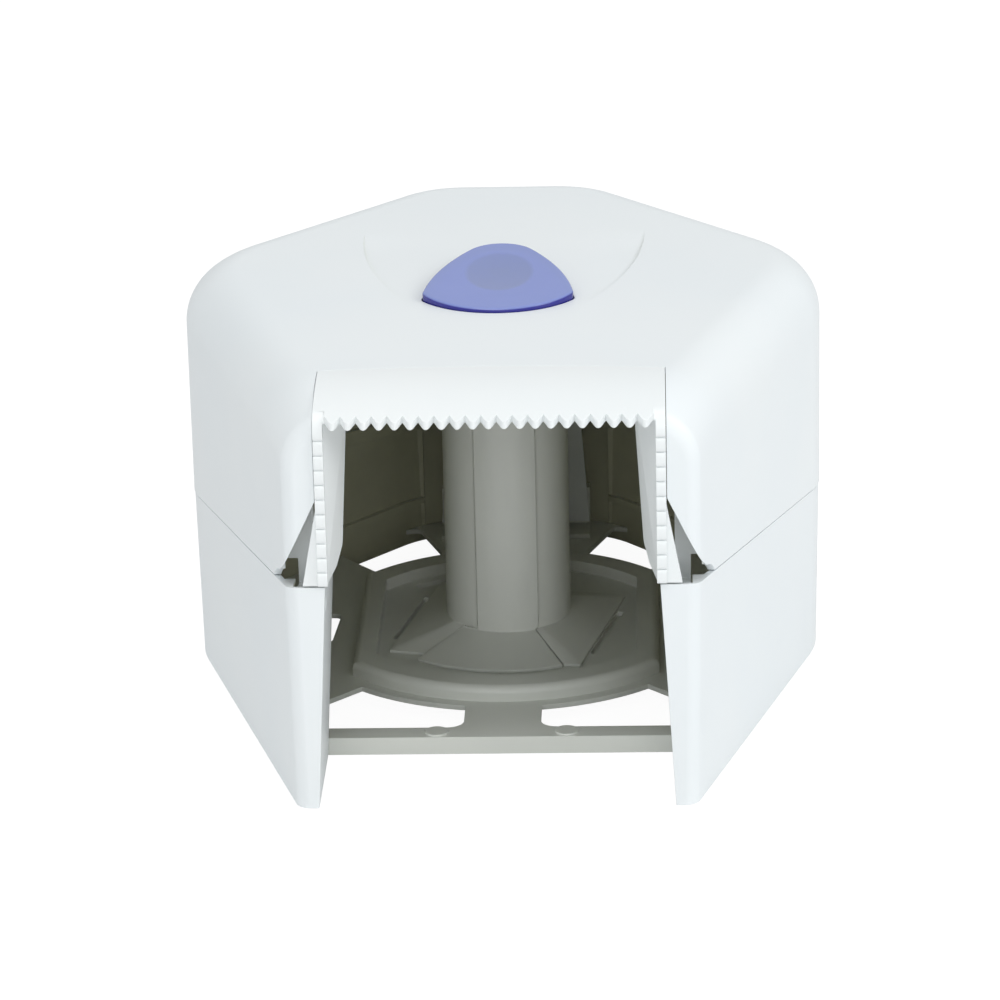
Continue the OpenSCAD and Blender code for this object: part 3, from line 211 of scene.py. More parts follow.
class Wire:
    """One output socket that can be added, multiplied and compared like a number."""

    def __init__(self, tree, socket):
        self.tree, self.socket = tree, socket

    def maths(self, operation, *pair):
        return self.tree.node("Math", dict(enumerate(pair)), operation=operation)

    def __add__(self, other):
        return self.maths("ADD", self, other)

    def __radd__(self, other):
        return self.maths("ADD", other, self)

    def __sub__(self, other):
        return self.maths("SUBTRACT", self, other)

    def __rsub__(self, other):
        return self.maths("SUBTRACT", other, self)

    def __mul__(self, other):
        return self.maths("MULTIPLY", self, other)

    def __rmul__(self, other):
        return self.maths("MULTIPLY", other, self)

    def between(self, low, high):
        """0 below low, 1 above high and smooth between."""
        return self.tree.node("MapRange", {"Value": self, "From Min": low, "From Max": high},
                              interpolation_type="SMOOTHSTEP")


class Tree:
    """The nodes of a material or of the world."""

    def __init__(self, nodes):
        self.nodes, self.links = nodes.nodes, nodes.links
        self.nodes.clear()

    def node(self, kind, inputs=(), out=0, **settings):
        """Makes a node: its settings first, then its values and links. Gives one output."""
        made = self.nodes.new("ShaderNode" + kind)
        for name, value in settings.items():
            setattr(made, name, value)
        for name, value in dict(inputs).items():
            if isinstance(value, Wire):
                self.links.new(value.socket, made.inputs[name])
            else:
                made.inputs[name].default_value = value
        return Wire(self, made.outputs[out] if made.outputs else None)


class Finish(Tree):
    """A procedural material round one Principled shader."""

    def __init__(self, name, **constants):
        self.material = bpy.data.materials.new(name)
        self.material.use_nodes = True
        super().__init__(self.material.node_tree)
        shader = self.node("BsdfPrincipled", {socket.replace("_", " "): value
                                              for socket, value in constants.items()})
        self.inputs = shader.socket.node.inputs
        self.node("OutputMaterial", {"Surface": shader})

    def feed(self, socket, wire):
        self.links.new(wire.socket, self.inputs[socket])

    def place(self):
        """Where a point lies on the object, in metres."""
        return self.node("TexCoord", out="Object")

    def noise(self, scale, detail=2.0, stretch=(1, 1, 1)):
        at = self.node("Mapping", {"Vector": self.place(), "Scale": stretch})
        return self.node("TexNoise", {"Vector": at, "Scale": scale, "Detail": detail})

    def mix(self, share, first, second):
        return self.node("Mix", {0: share, 6: first, 7: second}, 2, data_type="RGBA")

    def vector(self, operation, *pair, out=0):
        return self.node("VectorMath", dict(enumerate(pair)), out, operation=operation)

    def bumped(self, height, distance, strength=1.0):
        self.feed("Normal", self.node("Bump", {"Height": height, "Distance": distance,
                                               "Strength": strength}))


def paint(*levels):
    """A colour read from a screen, 0 to 255, as linear light for a socket."""
    return *[v / 3294.6 if v <= 10.31 else ((v / 255 + 0.055) / 1.055) ** 2.4 for v in levels], 1.0


print("paint for mid grey:", tuple(round(c, 3) for c in paint(128, 128, 128)))

# %% [markdown]
# The casing is moulded ABS with a satin face. Real mouldings have a very fine spark-eroded
# texture, a slight waviness left by cooling, and a tone that drifts a little over the part. Each
# plastic here gets those three from noise at its own scale. On the casing, the faces that look in at
# the roll are painted a darker olive grey: that is painted shade for the dim light inside.

# %% Plastic finishes
CASING_MIDDLE, GRAIN_M, DRIFT = (0, 0.01, 0.06), 0.000036, 0.5
OUTLET_HALF_SQUARED, OUTLET_REACH = (0.00442, 0.0048), (-0.094, -0.086)
# A darker olive that cloud noise mixes into the painted shade on the casing's inner faces.
PAINTED_SHADE_CLOUD = paint(186, 186, 162)


def painted_shade_share(finish):
    """Share of painted shade: 1 on faces that look in at the roll, 0 on faces that look out and on the cheeks' walls.
    """
    place = finish.place()
    out = finish.vector("NORMALIZE", finish.vector("SUBTRACT", place, CASING_MIDDLE))
    facing = finish.node("NewGeometry", out="Normal")
    inward = finish.vector("DOT_PRODUCT", out, facing, out="Value").between(-0.1, -0.45)
    across, along = (finish.node("SeparateXYZ", {0: place}, k) for k in (0, 1))
    outlet = (1 - (across * across).between(*OUTLET_HALF_SQUARED)) * (1 - along.between(*OUTLET_REACH))
    return inward * (1 - outlet)


def moulded(name, tone, cool, roughness, specular, inner=None):
    """Satin moulded plastic: tone drifts towards cool, with fine grain and slow waviness; an inner tone, when given, is
    painted shade on faces that look inward.
    """
    finish = Finish(name, IOR=1.5, Specular_IOR_Level=specular)
    slow, cloud = finish.noise(9.0, 3.0), finish.noise(55.0, 4.0)
    drifted = slow.between(0.3, 0.7) * DRIFT + cloud * (0.3 * DRIFT)
    colour = finish.mix(drifted, paint(*tone), paint(*cool))
    # Painted shade: faces that look in at the roll take the darker olive inner tone.
    if inner:
        inside = finish.mix(cloud, paint(*inner), PAINTED_SHADE_CLOUD)
        colour = finish.mix(painted_shade_share(finish), colour, inside)
    finish.feed("Base Color", colour)
    finish.feed("Roughness", roughness - 0.06 + cloud * 0.08 + slow * 0.04)
    finish.bumped(finish.noise(5200.0, 1.0) * 0.35 + finish.noise(26.0, 2.0) * 1.2, GRAIN_M, 0.7)
    return finish


# The casing's row ends with the painted shade tone for its inner faces.
FINISHES = {name: moulded(name, *row) for name, *row in (
    ("white_casing", (236, 240, 241), (230, 236, 239), 0.40, 0.45, (204, 204, 180)),
    ("white_insert", (238, 241, 241), (233, 238, 239), 0.36, 0.45),
    ("grey_plate", (224, 226, 219), (215, 218, 211), 0.34, 0.5),
    ("grey_spindle", (228, 230, 224), (220, 223, 216), 0.34, 0.5),
    ("latch_plastic", (222, 225, 224), (214, 218, 219), 0.45, 0.4))}
print("plastics:", list(FINISHES))

# %% [markdown]
# The button is a clear blue moulding. Its flat face looks pale and periwinkle because white parts
# lie close under it, and its side looks deep blue because there the light goes through the whole
# wall. The shader is part glass, and both looks are partly painted light in its colour: the face's
# pale periwinkle stands in for the white parts seen through it, the colour deepens to dark blue where
# the surface turns sideways, and the dimple's floor is painted a little greyer as painted shade.

# %% Blue button finish
MM, SPINDLE_Y = 0.001, 16.55
DIMPLE_R, DIMPLE_LONG, DIMPLE_D, DIMPLE_Y = 13.0, 1.55, 0.8, -20.0
BOWL_PAST, BOWL_STEPS, BOWL_LID = 1.06, 24, 3.0


def clear_blue():
    finish = Finish("blue_button", IOR=1.49, Transmission_Weight=0.35, Specular_IOR_Level=0.6)
    facing = finish.node("SeparateXYZ", {0: finish.node("NewGeometry", out="True Normal")}, 2)
    cloud = finish.noise(60.0, 3.0)
    round_place = finish.vector("MULTIPLY", finish.place(), (1, 1 / DIMPLE_LONG, 0))
    middle = (0, (DIMPLE_Y + SPINDLE_Y) * MM / DIMPLE_LONG, 0)
    in_dimple = finish.vector("DISTANCE", round_place, middle, out="Value").between(
        DIMPLE_R * 1.03 * MM, DIMPLE_R * 0.86 * MM)
    # The face's pale periwinkle is partly the blue's own tint and partly painted light from the white parts under it.
    face = finish.mix(cloud, paint(156, 173, 240), paint(162, 179, 244))
    # Painted shade: the dimple's floor is a little greyer than the rest of the face.
    face = finish.mix(in_dimple, face, paint(154, 170, 224))
    # Painted light: the colour deepens to dark blue where the surface turns sideways, for light that crosses the whole
    # wall.
    finish.feed("Base Color", finish.mix(facing.between(0.15, 0.95), paint(52, 50, 165), face))
    finish.feed("Roughness", 0.12 + cloud * 0.10)
    finish.bumped(finish.noise(35.0, 2.0), 0.00003, 0.4)
    return finish


FINISHES["blue_button"] = clear_blue()

# %% [markdown]
# The fixings are zinc-plated steel. Plating is never one even grey: it has a bright base, cloudy
# patches and fine scratches, so the roughness and colour both follow noise.

# %% Metal finishes


def plated(name, bright, dull, rough):
    finish = Finish(name, Metallic=1.0)
    patch = finish.noise(420.0, 4.0)
    scratch = finish.noise(900.0, 2.0, (1, 1, 9))
    finish.feed("Base Color", finish.mix(patch, bright, dull))
    finish.feed("Roughness", rough - 0.1 + patch * 0.22 + scratch * 0.06)
    finish.bumped(scratch + patch * 0.5, 0.00002, 0.5)
    return finish


FINISHES["screw_steel"] = plated("screw_steel", paint(206, 209, 212), paint(158, 162, 166), 0.34)
FINISHES["pin_steel"] = plated("pin_steel", paint(214, 216, 218), paint(176, 180, 184), 0.26)
print("finishes:", len(FINISHES))

# %% [markdown]
# All shapes are worked out in millimetres from the spindle's axis, as the moulder's drawing would
# be, and turned into metres as each mesh is made. A solid is built from rings, from an outline
# carried along an axis, or from a profile turned about the spindle.

# %% Mesh makers


def turn(angle):
    return np.array([cos(radians(angle)), sin(radians(angle))])


def arc(centre, radius, start, sweep, steps):
    """Points along an arc, with both its ends."""
    return [tuple(centre + radius * turn(start + sweep * k / steps)) for k in range(steps + 1)]


def circle(centre, radius, steps):
    return arc(centre, radius, 0, 360, steps)[:-1]


@contextmanager
def edited(piece):
    """The piece's mesh, open for editing."""
    body = bmesh.new()
    body.from_mesh(piece.data)
    yield body
    body.to_mesh(piece.data)
    body.free()


def solid(points, faces):
    """A closed mesh from points in millimetres, in the spindle's own frame."""
    mesh = bpy.data.meshes.new("form")
    mesh.from_pydata([(x * MM, (y + SPINDLE_Y) * MM, z * MM) for x, y, z in points], [], faces)
    made = placed("form", mesh)
    with edited(made) as body:
        bmesh.ops.remove_doubles(body, verts=body.verts, dist=0.0005 * MM)
        bmesh.ops.recalc_face_normals(body, faces=body.faces)
    return made


def strips(rows, n, closed=False):
    """Faces between rows of n points; closed joins the last row to the first."""
    return [(k * n + j, k * n + (j + 1) % n, (k + 1) % rows * n + (j + 1) % n, (k + 1) % rows * n + j)
            for k in range(rows if closed else rows - 1) for j in range(n)]


def ends(rows, n):
    """The first and the last row, each as one face."""
    return [tuple(range(n)), tuple(range(rows * n - n, rows * n))]


def ringed(rings):
    """Solid between rings of equal length, capped by strips that run straight across."""
    n, rows = len(rings[0]), len(rings)
    caps = [(k * n + j, k * n + j + 1, k * n + n - 2 - j, k * n + n - 1 - j)
            for k in (0, rows - 1) for j in range(n // 2 - 1)]
    return solid([p for ring in rings for p in ring], strips(rows, n) + caps)


AXES = {"x": lambda u, v, w: (w, u, v), "y": lambda u, v, w: (u, w, v), "z": lambda u, v, w: (u, v, w)}


def carried(outline, axis, start, run):
    """Outline carried along an axis; it is drawn in the other two, in their usual order."""
    points = [AXES[axis](u, v, w) for w in (start, start + run) for u, v in outline]
    return solid(points, ends(2, len(outline)) + strips(2, len(outline)))


def block(low, high):
    outline = [(low[0], low[1]), (high[0], low[1]), (high[0], high[1]), (low[0], high[1])]
    return carried(outline, "z", low[2], high[2] - low[2])


def rod(centre, start, run, radius, steps, axis="z"):
    return carried(circle(centre, radius, steps), axis, start, run)


def turned(profile, steps, start=0.0, sweep=360.0):
    """Profile of radius and height, turned about the spindle's axis."""
    n, whole = len(profile), sweep == 360.0
    rows = steps if whole else steps + 1
    points = [(r * c, r * s, z) for k in range(rows)
              for c, s in [turn(start + sweep * k / steps)] for r, z in profile]
    return solid(points, strips(rows, n, whole) + ([] if whole else ends(rows, n)))


def rounded(points, radius, steps):
    """Polygon with each corner rounded."""
    points, made = [np.array(p, float) for p in points], []
    for k, p in enumerate(points):
        u, v = points[k - 1] - p, points[(k + 1) % len(points)] - p
        u, v = u / np.linalg.norm(u), v / np.linalg.norm(v)
        half = acos(max(-1, min(1, u @ v))) / 2
        c = p + (u + v) / np.linalg.norm(u + v) * radius / sin(half)
        a0, a1 = (atan2(*reversed(p + way * radius / tan(half) - c)) for way in (u, v))
        made += arc(c, radius, degrees(a0), degrees((a1 - a0 + pi) % (2 * pi) - pi), steps)
    return made


# %% Cutting and joining


def baked(piece):
    """Puts what the piece's modifiers make in the place of its mesh."""
    graph = bpy.context.evaluated_depsgraph_get()
    result = bpy.data.meshes.new_from_object(piece.evaluated_get(graph))
    piece.modifiers.clear()
    spare, piece.data = piece.data, result
    bpy.data.meshes.remove(spare)
    return piece


def combined(piece, others, operation):
    """Applies one boolean for each of the others, and removes them."""
    for other in others:
        step = piece.modifiers.new("combine", "BOOLEAN")
        step.object, step.operation, step.solver = other, operation, "EXACT"
    baked(piece)
    for other in others:
        bpy.data.objects.remove(other)
    return piece


def cut(piece, *others):
    return combined(piece, others, "DIFFERENCE")


def joined(piece, *others):
    return combined(piece, others, "UNION")


def common(piece, *others):
    return combined(piece, others, "INTERSECT")


def both(*pieces):
    """The pieces, each followed by the same solid on the other side of the casing."""
    made = []
    for piece in pieces:
        twin = placed("twin", piece.data.copy())
        twin.data.transform(Matrix.Diagonal((-1, 1, 1, 1)))
        twin.data.flip_normals()
        made += [piece, twin]
    return made


# %% [markdown]
# A moulding has no razor edges. Each finished solid is cleaned, its edges are rounded by a few
# tenths of a millimetre, and its shading normals are weighted so that flats stay flat and only the
# rounding turns.

# %% Rounding edges and finishing a piece
TINY = 0.002


def rounded_edges(piece, width, segments=2, least=30.0, clean=0.05):
    with edited(piece) as body:
        bmesh.ops.remove_doubles(body, verts=body.verts, dist=clean * MM)
        bmesh.ops.dissolve_degenerate(body, edges=body.edges, dist=clean * MM)
        bmesh.ops.dissolve_limit(body, angle_limit=radians(0.35), verts=body.verts, edges=body.edges)
        edges = [e for e in body.edges
                 if len(e.link_faces) == 2 and e.calc_face_angle(0) > radians(least)]
        bmesh.ops.bevel(body, geom=edges, offset=width * MM, offset_type="OFFSET", segments=segments,
                        profile=0.5, affect="EDGES", clamp_overlap=False, miter_outer="ARC")
        bmesh.ops.remove_doubles(body, verts=body.verts, dist=TINY * MM)
    return piece


def split_faces(piece):
    """Clears faces without area and splits the large ones, which shade wrongly when left whole."""
    with edited(piece) as body:
        bmesh.ops.dissolve_degenerate(body, dist=TINY * MM, edges=body.edges)
        bmesh.ops.triangulate(body, faces=[face for face in body.faces if len(face.verts) > 4])
        bmesh.ops.dissolve_degenerate(body, dist=TINY * MM, edges=body.edges)
    piece.data.validate()
    return piece


def weighted(piece, sharp=50.0):
    """Smooth shading whose normals lean towards the larger faces."""
    piece.data.shade_smooth()
    piece.data.set_sharp_from_angle(angle=radians(sharp))
    step = piece.modifiers.new("weighted", "WEIGHTED_NORMAL")
    step.keep_sharp, step.weight = True, 80
    return baked(piece)


def finished(piece, name, node, slot):
    """Names the piece, gives it its material, and puts it on the body of the solid it stands for."""
    piece.name = name
    piece.data.materials.clear()
    piece.data.materials.append(FINISHES[slot].material)
    for face in piece.data.polygons:
        face.material_index = 0
    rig.ride(piece, BODY_OF[node])
    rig.replaces(piece, node)
    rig.slot(piece, slot)
    low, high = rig.box(node)
    corners = np.array([v.co for v in piece.data.vertices])
    past = max(0, *(np.array(low) - corners.min(0)), *(corners.max(0) - np.array(high))) / MM
    print(f"{piece.name}: {len(piece.data.polygons)} faces, {past:.2f} mm past its solid's box")
    return piece


# %% [markdown]
# Seen from above, the casing's outline is a chain of arcs and straights: a leaning side wall, a
# wide corner, a shoulder wall, a far corner and the far wall. Both shells use it, drawn in by the
# wall's thickness for their insides.

# %% Outline of the casing
FRONT_Y, BEND_Y, FAR_Y = -157.0, -124.0, 127.5
FRONT_HALF_W, FAR_HALF_W, BODY_W = 72.0, 18.6, 240.0
CORNER_R, SHOULDER_R, CORNER_REACH = 65.0, 40.0, 5.25
COVER_Z, PARTING_Z, PARTING_SLOPE = 153.0, 84.0, 6.73
WALL, EDGE_R, DRAFT, FRONT_ROUND, BEND_R = 2.5, 20.0, 1.2, 4.0, 98.0
CORNER_FRONT, CORNER_BACK, SHOULDER_STEPS = 10, 22, 18
ROUND_STEPS, BEND_STEPS, EDGE_STEPS = 8, 14, 16


def tangent_a(gap, reach):
    """Direction faced by a wall that is reach further along it than a point a gap away."""
    return degrees(atan2(gap[1], gap[0]) + acos(reach / hypot(*gap)))


CORNER_C = np.array([BODY_W / 2 - CORNER_R, CORNER_REACH])
SHOULDER_C = np.array([FAR_HALF_W, FAR_Y - SHOULDER_R])
SIDE_LEAN = -tangent_a(np.array([FRONT_HALF_W, FRONT_Y]) - CORNER_C, CORNER_R)
SHOULDER_A = tangent_a(CORNER_C - SHOULDER_C, SHOULDER_R - CORNER_R)
SIDE_N, SHOULDER_N = turn(-SIDE_LEAN), turn(SHOULDER_A)
SIDE_DIST = SIDE_N @ (FRONT_HALF_W, FRONT_Y)
SHOULDER_DIST = SHOULDER_N @ CORNER_C + CORNER_R


def side_x(y, inset):
    return (SIDE_DIST - inset - SIDE_N[1] * y) / SIDE_N[0]


def corner_drop(y):
    """How far the rounded front edge draws the wall in at y."""
    left = max(FRONT_ROUND + FRONT_Y - y, 0)
    return FRONT_ROUND - sqrt(max(FRONT_ROUND ** 2 - left ** 2, 0))


def half_outline(inset, front_y, share=1.0):
    """Right half of the outline, from the front to the far wall, with a share of the rounding."""
    end = FRONT_ROUND + FRONT_Y
    ys = [front_y + (end - front_y) * (1 - cos(pi / 2 * k / ROUND_STEPS))
          for k in range(ROUND_STEPS + 1)]
    ys += [end + (BEND_Y - end) * k / BEND_STEPS for k in range(1, BEND_STEPS + 1)]
    return ([(side_x(y, inset + share * corner_drop(y)), y) for y in ys]
            + arc(CORNER_C, CORNER_R - inset, -SIDE_LEAN, SIDE_LEAN, CORNER_FRONT)[:-1]
            + arc(CORNER_C, CORNER_R - inset, 0, SHOULDER_A, CORNER_BACK)
            + arc(SHOULDER_C, SHOULDER_R - inset, SHOULDER_A, 90 - SHOULDER_A, SHOULDER_STEPS))


def both_halves(half):
    return half + [(-x, y) for x, y in reversed(half)]


def top_z(y, depth):
    """Height of the top a depth below its face; beyond the bend it curves down to the outlet."""
    past = np.maximum(0, BEND_Y - y)
    return COVER_Z - BEND_R + np.sqrt(np.maximum((BEND_R - depth) ** 2 - past * past, 0))


def parting_at(y):
    return PARTING_Z - tan(radians(PARTING_SLOPE)) * (y - FRONT_Y)


print("corner centre", CORNER_C.round(2), "shoulder centre", SHOULDER_C.round(2))

# %% [markdown]
# Cutting a curved shell leaves slivers, and a sliver's own normal would show as a dark fleck. The
# two shells are known surfaces, so each corner of each face that lies on one of them gets that
# surface's exact normal instead.

# %% Exact normals for the shells
NEAR, NEAR_A = 0.06, 14


def unit_rows(n):
    return n / np.maximum(np.linalg.norm(n, axis=1), 1e-9)[:, None]


def inset_at(x, y):
    """How far inside the outline a point lies, and which way the nearest wall faces."""
    side, p = np.where(x < 0, -1.0, 1.0), np.stack([np.abs(x), y], 1)
    away, far = p - CORNER_C, p - SHOULDER_C
    a, b = (np.degrees(np.arctan2(gap[:, 1], gap[:, 0])) for gap in (away, far))
    zones = [(a < -SIDE_LEAN) | (y < CORNER_C[1] - CORNER_R), a <= SHOULDER_A,
             p[:, 0] < SHOULDER_C[0], b >= SHOULDER_A, np.full(len(p), True)]
    insets = [SIDE_DIST - p @ SIDE_N, CORNER_R - np.hypot(*away.T), FAR_Y - p[:, 1],
              SHOULDER_R - np.hypot(*far.T), SHOULDER_DIST - p @ SHOULDER_N]
    normals = [np.broadcast_to(n, p.shape).T
               for n in (SIDE_N, unit_rows(away), (0.0, 1.0), unit_rows(far), SHOULDER_N)]
    across, along = np.select(zones, normals)
    return np.select(zones, insets), np.stack([across * side, along], 1)


def with_front_round(p, distance, normal):
    """Lets a wall turn into the front face round the upright edge."""
    a = np.maximum(FRONT_ROUND - distance, 0)
    b = np.maximum(FRONT_ROUND - (p[:, 1] - FRONT_Y), 0)
    turning, n = (a > 0) & (b > 0), unit_rows(normal * a[:, None] - b[:, None] * (0, 1, 0))
    distance = np.where(turning, FRONT_ROUND - np.hypot(a, b), distance)
    return distance, np.where(turning[:, None], n, normal)


def cover_surface(depth):
    """Distance and normal of the cover's outside, or of its inside at the wall's depth."""
    def measure(p):
        inset, wall_n = inset_at(p[:, 0], p[:, 1])
        radius, past = EDGE_R - depth, np.maximum(0, BEND_Y - p[:, 1])
        slope = past / np.sqrt((BEND_R - depth) ** 2 - past * past)
        side_gap, top_gap = inset - depth, top_z(p[:, 1], depth) - p[:, 2]
        a, b = np.maximum(radius - side_gap, 0), np.maximum(radius - top_gap, 0)
        rolled = (a > 0) & (b > 0)
        distance = np.where(rolled, radius - np.hypot(a, b), np.minimum(side_gap, top_gap))
        n = np.stack([a * wall_n[:, 0], a * wall_n[:, 1] - b * slope, b], 1)
        return with_front_round(p, distance, unit_rows(n))
    return measure


def base_surface(depth):
    """Distance and normal of the rear housing's drafted wall."""
    def measure(p):
        inset, wall_n = inset_at(p[:, 0], p[:, 1])
        distance = inset - depth - DRAFT * (1 - p[:, 2] / PARTING_Z)
        n = np.stack([wall_n[:, 0], wall_n[:, 1], np.full(len(p), -DRAFT / PARTING_Z)], 1)
        return with_front_round(p, distance, unit_rows(n))
    return measure


def exact_normals(piece, *surfaces):
    """Corners on a known surface take its normal; all others keep the ones they have."""
    mesh = piece.data
    points = np.array([v.co for v in mesh.vertices]) / MM - (0, SPINDLE_Y, 0)
    corners = np.array([l.vertex_index for l in mesh.loops])
    normals = np.array([n.vector for n in mesh.corner_normals])
    face_of = np.repeat(np.arange(len(mesh.polygons)), [p.loop_total for p in mesh.polygons])
    flat, changed = np.array([p.normal for p in mesh.polygons])[face_of], 0
    for surface in surfaces:
        distance, n = surface(points)
        n = n[corners]
        along = (n * flat).sum(1)
        near = (np.abs(distance[corners]) < NEAR) & (np.abs(along) > cos(radians(NEAR_A)))
        normals[near] = (n * np.sign(along)[:, None])[near]
        changed += int(near.sum())
    mesh.normals_split_custom_set(normals.tolist())
    print(f"{changed} of {len(corners)} corners have an exact normal")
    return piece


# %% [markdown]
# The cover is one thin shell: straight drafted sides, a rolled edge, a top that bends down towards
# the outlet, and a shallow crowned recess round the button. It is made as an outer and an inner
# solid, and then the openings are cut one by one, as slides and cores would form them in a mould.

# %% Front cover: shells


def flat_ring(inset, front_y, z):
    return [(x, y, z) for x, y in both_halves(half_outline(inset, front_y))]


def edge_ring(depth, front_y, share):
    angle, radius, made = radians(90 * share), EDGE_R - depth, []
    for x, y in both_halves(half_outline(depth + radius * (1 - cos(angle)), front_y, cos(angle))):
        drop = corner_drop(y)
        made.append((x, y, float(top_z(y, depth + drop)) - (radius - drop) * (1 - sin(angle))))
    return made


def cover_form(depth, front_y, low_z):
    return ringed([flat_ring(depth, front_y, low_z)]
                  + [edge_ring(depth, front_y, k / EDGE_STEPS) for k in range(EDGE_STEPS + 1)])


def base_form(depth, low_z, high_z, front_y=FRONT_Y):
    return ringed([flat_ring(depth + DRAFT * (1 - z / PARTING_Z), front_y, z) for z in (low_z, high_z)])


ABOVE, BELOW, COVER_GAP = 400, -400, 0.4


def beyond_parting(lift, far):
    """A slab from the sloping parting plane, raised by lift, to a far height."""
    low, high = FRONT_Y - BODY_W / 4, FAR_Y + BODY_W / 4
    outline = [(low, parting_at(low) + lift), (high, parting_at(high) + lift), (high, far), (low, far)]
    return carried(outline, "x", -BODY_W, BODY_W * 2)


# %% Front cover: the curved outlines of button and recess
BUTTON_W, BUTTON_GAP, DISH_W, DISH_D, DISH_CREST = 56.0, 0.5, 108.0, 1.2, 0.02
BUTTON_ARCS = ((-90, 0, -0.4732, 0.5625),
               (-30.64, 0.4071, -0.7144, 0.0893),
               (7.16, -1.2763, -0.926, 1.786),
               (33.8, 0, -0.0714, 0.25))
DISH_ARCS = ((-90, 0, -0.2363, 0.3539),
             (-26.18, -1.2792, 0.3926, 1.7793),
             (0.53, 0.3334, 0.4074, 0.1667))


def wrap(arcs, size, inset, steps=90):
    """Outline that follows a table of arcs: start angle, centre and radius as shares of size."""
    half = []
    for k in range(steps):
        angle = -90 + 180 * (k + 0.5) / steps
        _, x, y, radius = [row for row in arcs if row[0] <= angle][-1]
        half.append(tuple(size * np.array([x, y]) + (size * radius - inset) * turn(angle)))
    return both_halves(half)


def smooth_share(value, low, high):
    t = np.clip((value - low) / (high - low), 0, 1)
    return t * t * (3 - 2 * t)


def dish_z(x, y):
    """Height of the recess's floor: deepest at the sides, and fading out at the front and the back."""
    fade = smooth_share(y, -64, -30) * (1 - smooth_share(y, 20, 48))
    return COVER_Z + DISH_CREST - DISH_D * fade * (x / (DISH_W / 2)) ** 2


def dish_cutter(across=28):
    """The recess as a solid: rows of points on its floor, and the same points on a flat lid."""
    outline, wide = wrap(DISH_ARCS, DISH_W, 0), across + 1
    rows = len(outline) // 2
    points = [(u, y, float(dish_z(u, y))) for x, y in outline[:rows] for u in np.linspace(x, -x, wide)]
    lid, count, faces = [(x, y, COVER_Z + 1) for x, y, z in points], len(points), []
    for j in range(rows - 1):
        for k in range(across):
            quad = (j * wide + k, j * wide + k + 1, (j + 1) * wide + k + 1, (j + 1) * wide + k)
            faces += [quad, tuple(count + i for i in quad)]
    rim = list(range(wide)) + [j * wide + across for j in range(1, rows)]
    rim += [(rows - 1) * wide + k for k in range(across - 1, -1, -1)]
    rim += [j * wide for j in range(rows - 2, 0, -1)]
    faces += [(a, b, count + b, count + a) for a, b in zip(rim, rim[1:] + rim[:1])]
    return solid(points + lid, faces)


def dish_surface(p, step=0.05):
    """Distance and normal of the recess's floor, for points inside its outline."""
    x, y = p[:, 0], p[:, 1]
    n = np.stack([(dish_z(x - step, y) - dish_z(x + step, y)) / (2 * step),
                  (dish_z(x, y - step) - dish_z(x, y + step)) / (2 * step), np.ones(len(p))], 1)
    inside, outline = np.zeros(len(p), bool), wrap(DISH_ARCS, DISH_W, -DISH_CREST)
    for (x0, y0), (x1, y1) in zip(outline, outline[1:] + outline[:1]):
        crosses = (y0 > y) != (y1 > y)
        inside ^= crosses & (x < (x1 - x0) * (y - y0) / (y1 - y0 if y1 != y0 else 1) + x0)
    sunk = inside & (p[:, 2] < COVER_Z - 0.003)
    return np.where(sunk, dish_z(x, y) - p[:, 2], DISH_W), unit_rows(n)


print("outline points:", len(wrap(BUTTON_ARCS, BUTTON_W, 0)))

# %% Front cover: its openings
BAR_HALF_W, SEAM_GAP, SEAM_BOW, TOOTH_H = 61.0, 0.2, 3.4, 3.6
CORNER_CUT_Z, CORNER_CUT_W, CORNER_CUT_H, CORNER_CUT_D = 116.0, 14.5, 30.0, 12.0
HINGE_Y, HINGE_Z, SWEEP_R = -148.5, 74.5, 12.9
CHEEK_IN, CHEEK_FOOT_IN, CHEEK_DEPTH, CHEEK_T, LEDGE_D = 58.6, 63.5, 48.15, 2.2, 14.0
SEAT_X = BAR_HALF_W + SEAM_GAP


def seam_y(x):
    return BEND_Y + SEAM_BOW * (1 - (x / BAR_HALF_W) ** 2)


def bar_back(gap, steps=32):
    xs = [BAR_HALF_W * (1 - 2 * k / steps) for k in range(steps + 1)]
    return [(x * (1 + gap / BAR_HALF_W), seam_y(x) + gap) for x in xs]


def bar_seat():
    front = FRONT_Y - TOOTH_H * 2
    return carried([(-SEAT_X, front), (SEAT_X, front)] + bar_back(SEAM_GAP), "z", 0, COVER_Z + 1)


def corner_cut():
    x1, low = SEAT_X + CORNER_CUT_W, CORNER_CUT_Z - CORNER_CUT_H
    outline = [(BAR_HALF_W - 1, 0), (BAR_HALF_W - 1, CORNER_CUT_Z), (SEAT_X, CORNER_CUT_Z), (x1, low),
               (x1 + CORNER_CUT_W, low), (x1 + CORNER_CUT_W, 0)]
    return carried(outline, "y", FRONT_Y - 1, CORNER_CUT_D + 1)


def hinge_rod(start, run, radius, steps=64):
    return rod((HINGE_Y, HINGE_Z), start, run, radius, steps, "x")


def hinge_sweeps():
    """Room for the arms and the cheeks to pass each other as the cover swings."""
    return both(hinge_rod(CHEEK_IN - 1, BODY_W / 6, SWEEP_R))


# %% Front cover: hinge arms and screw bosses
PIN_R, PIN_PLAY, EAR_R, EAR_W, EAR_GAP, BOSS_R, BOSS_W = 2.5, 0.06, 5.4, 5.6, 0.35, 5.2, 2.2
ARM_RUN, RISER_T, RISER_H, ARM_UP, ARM_DOWN, GUSSET_UP = 13.5, 6.5, 40.0, 3.5, 5.4, 12.5
LAP, SCREW_R, HEAD_R, SCREW_BOSS_R = 0.4, 1.5, 3.0, 3.8


def cheek_x(z):
    return CHEEK_FOOT_IN + (CHEEK_IN - CHEEK_FOOT_IN) * z / PARTING_Z


HINGE_WALL_X = cheek_x(HINGE_Z)
EAR_X = HINGE_WALL_X + CHEEK_T + BOSS_W + EAR_GAP
OUTER_BOSS_X = EAR_X + EAR_W + EAR_GAP


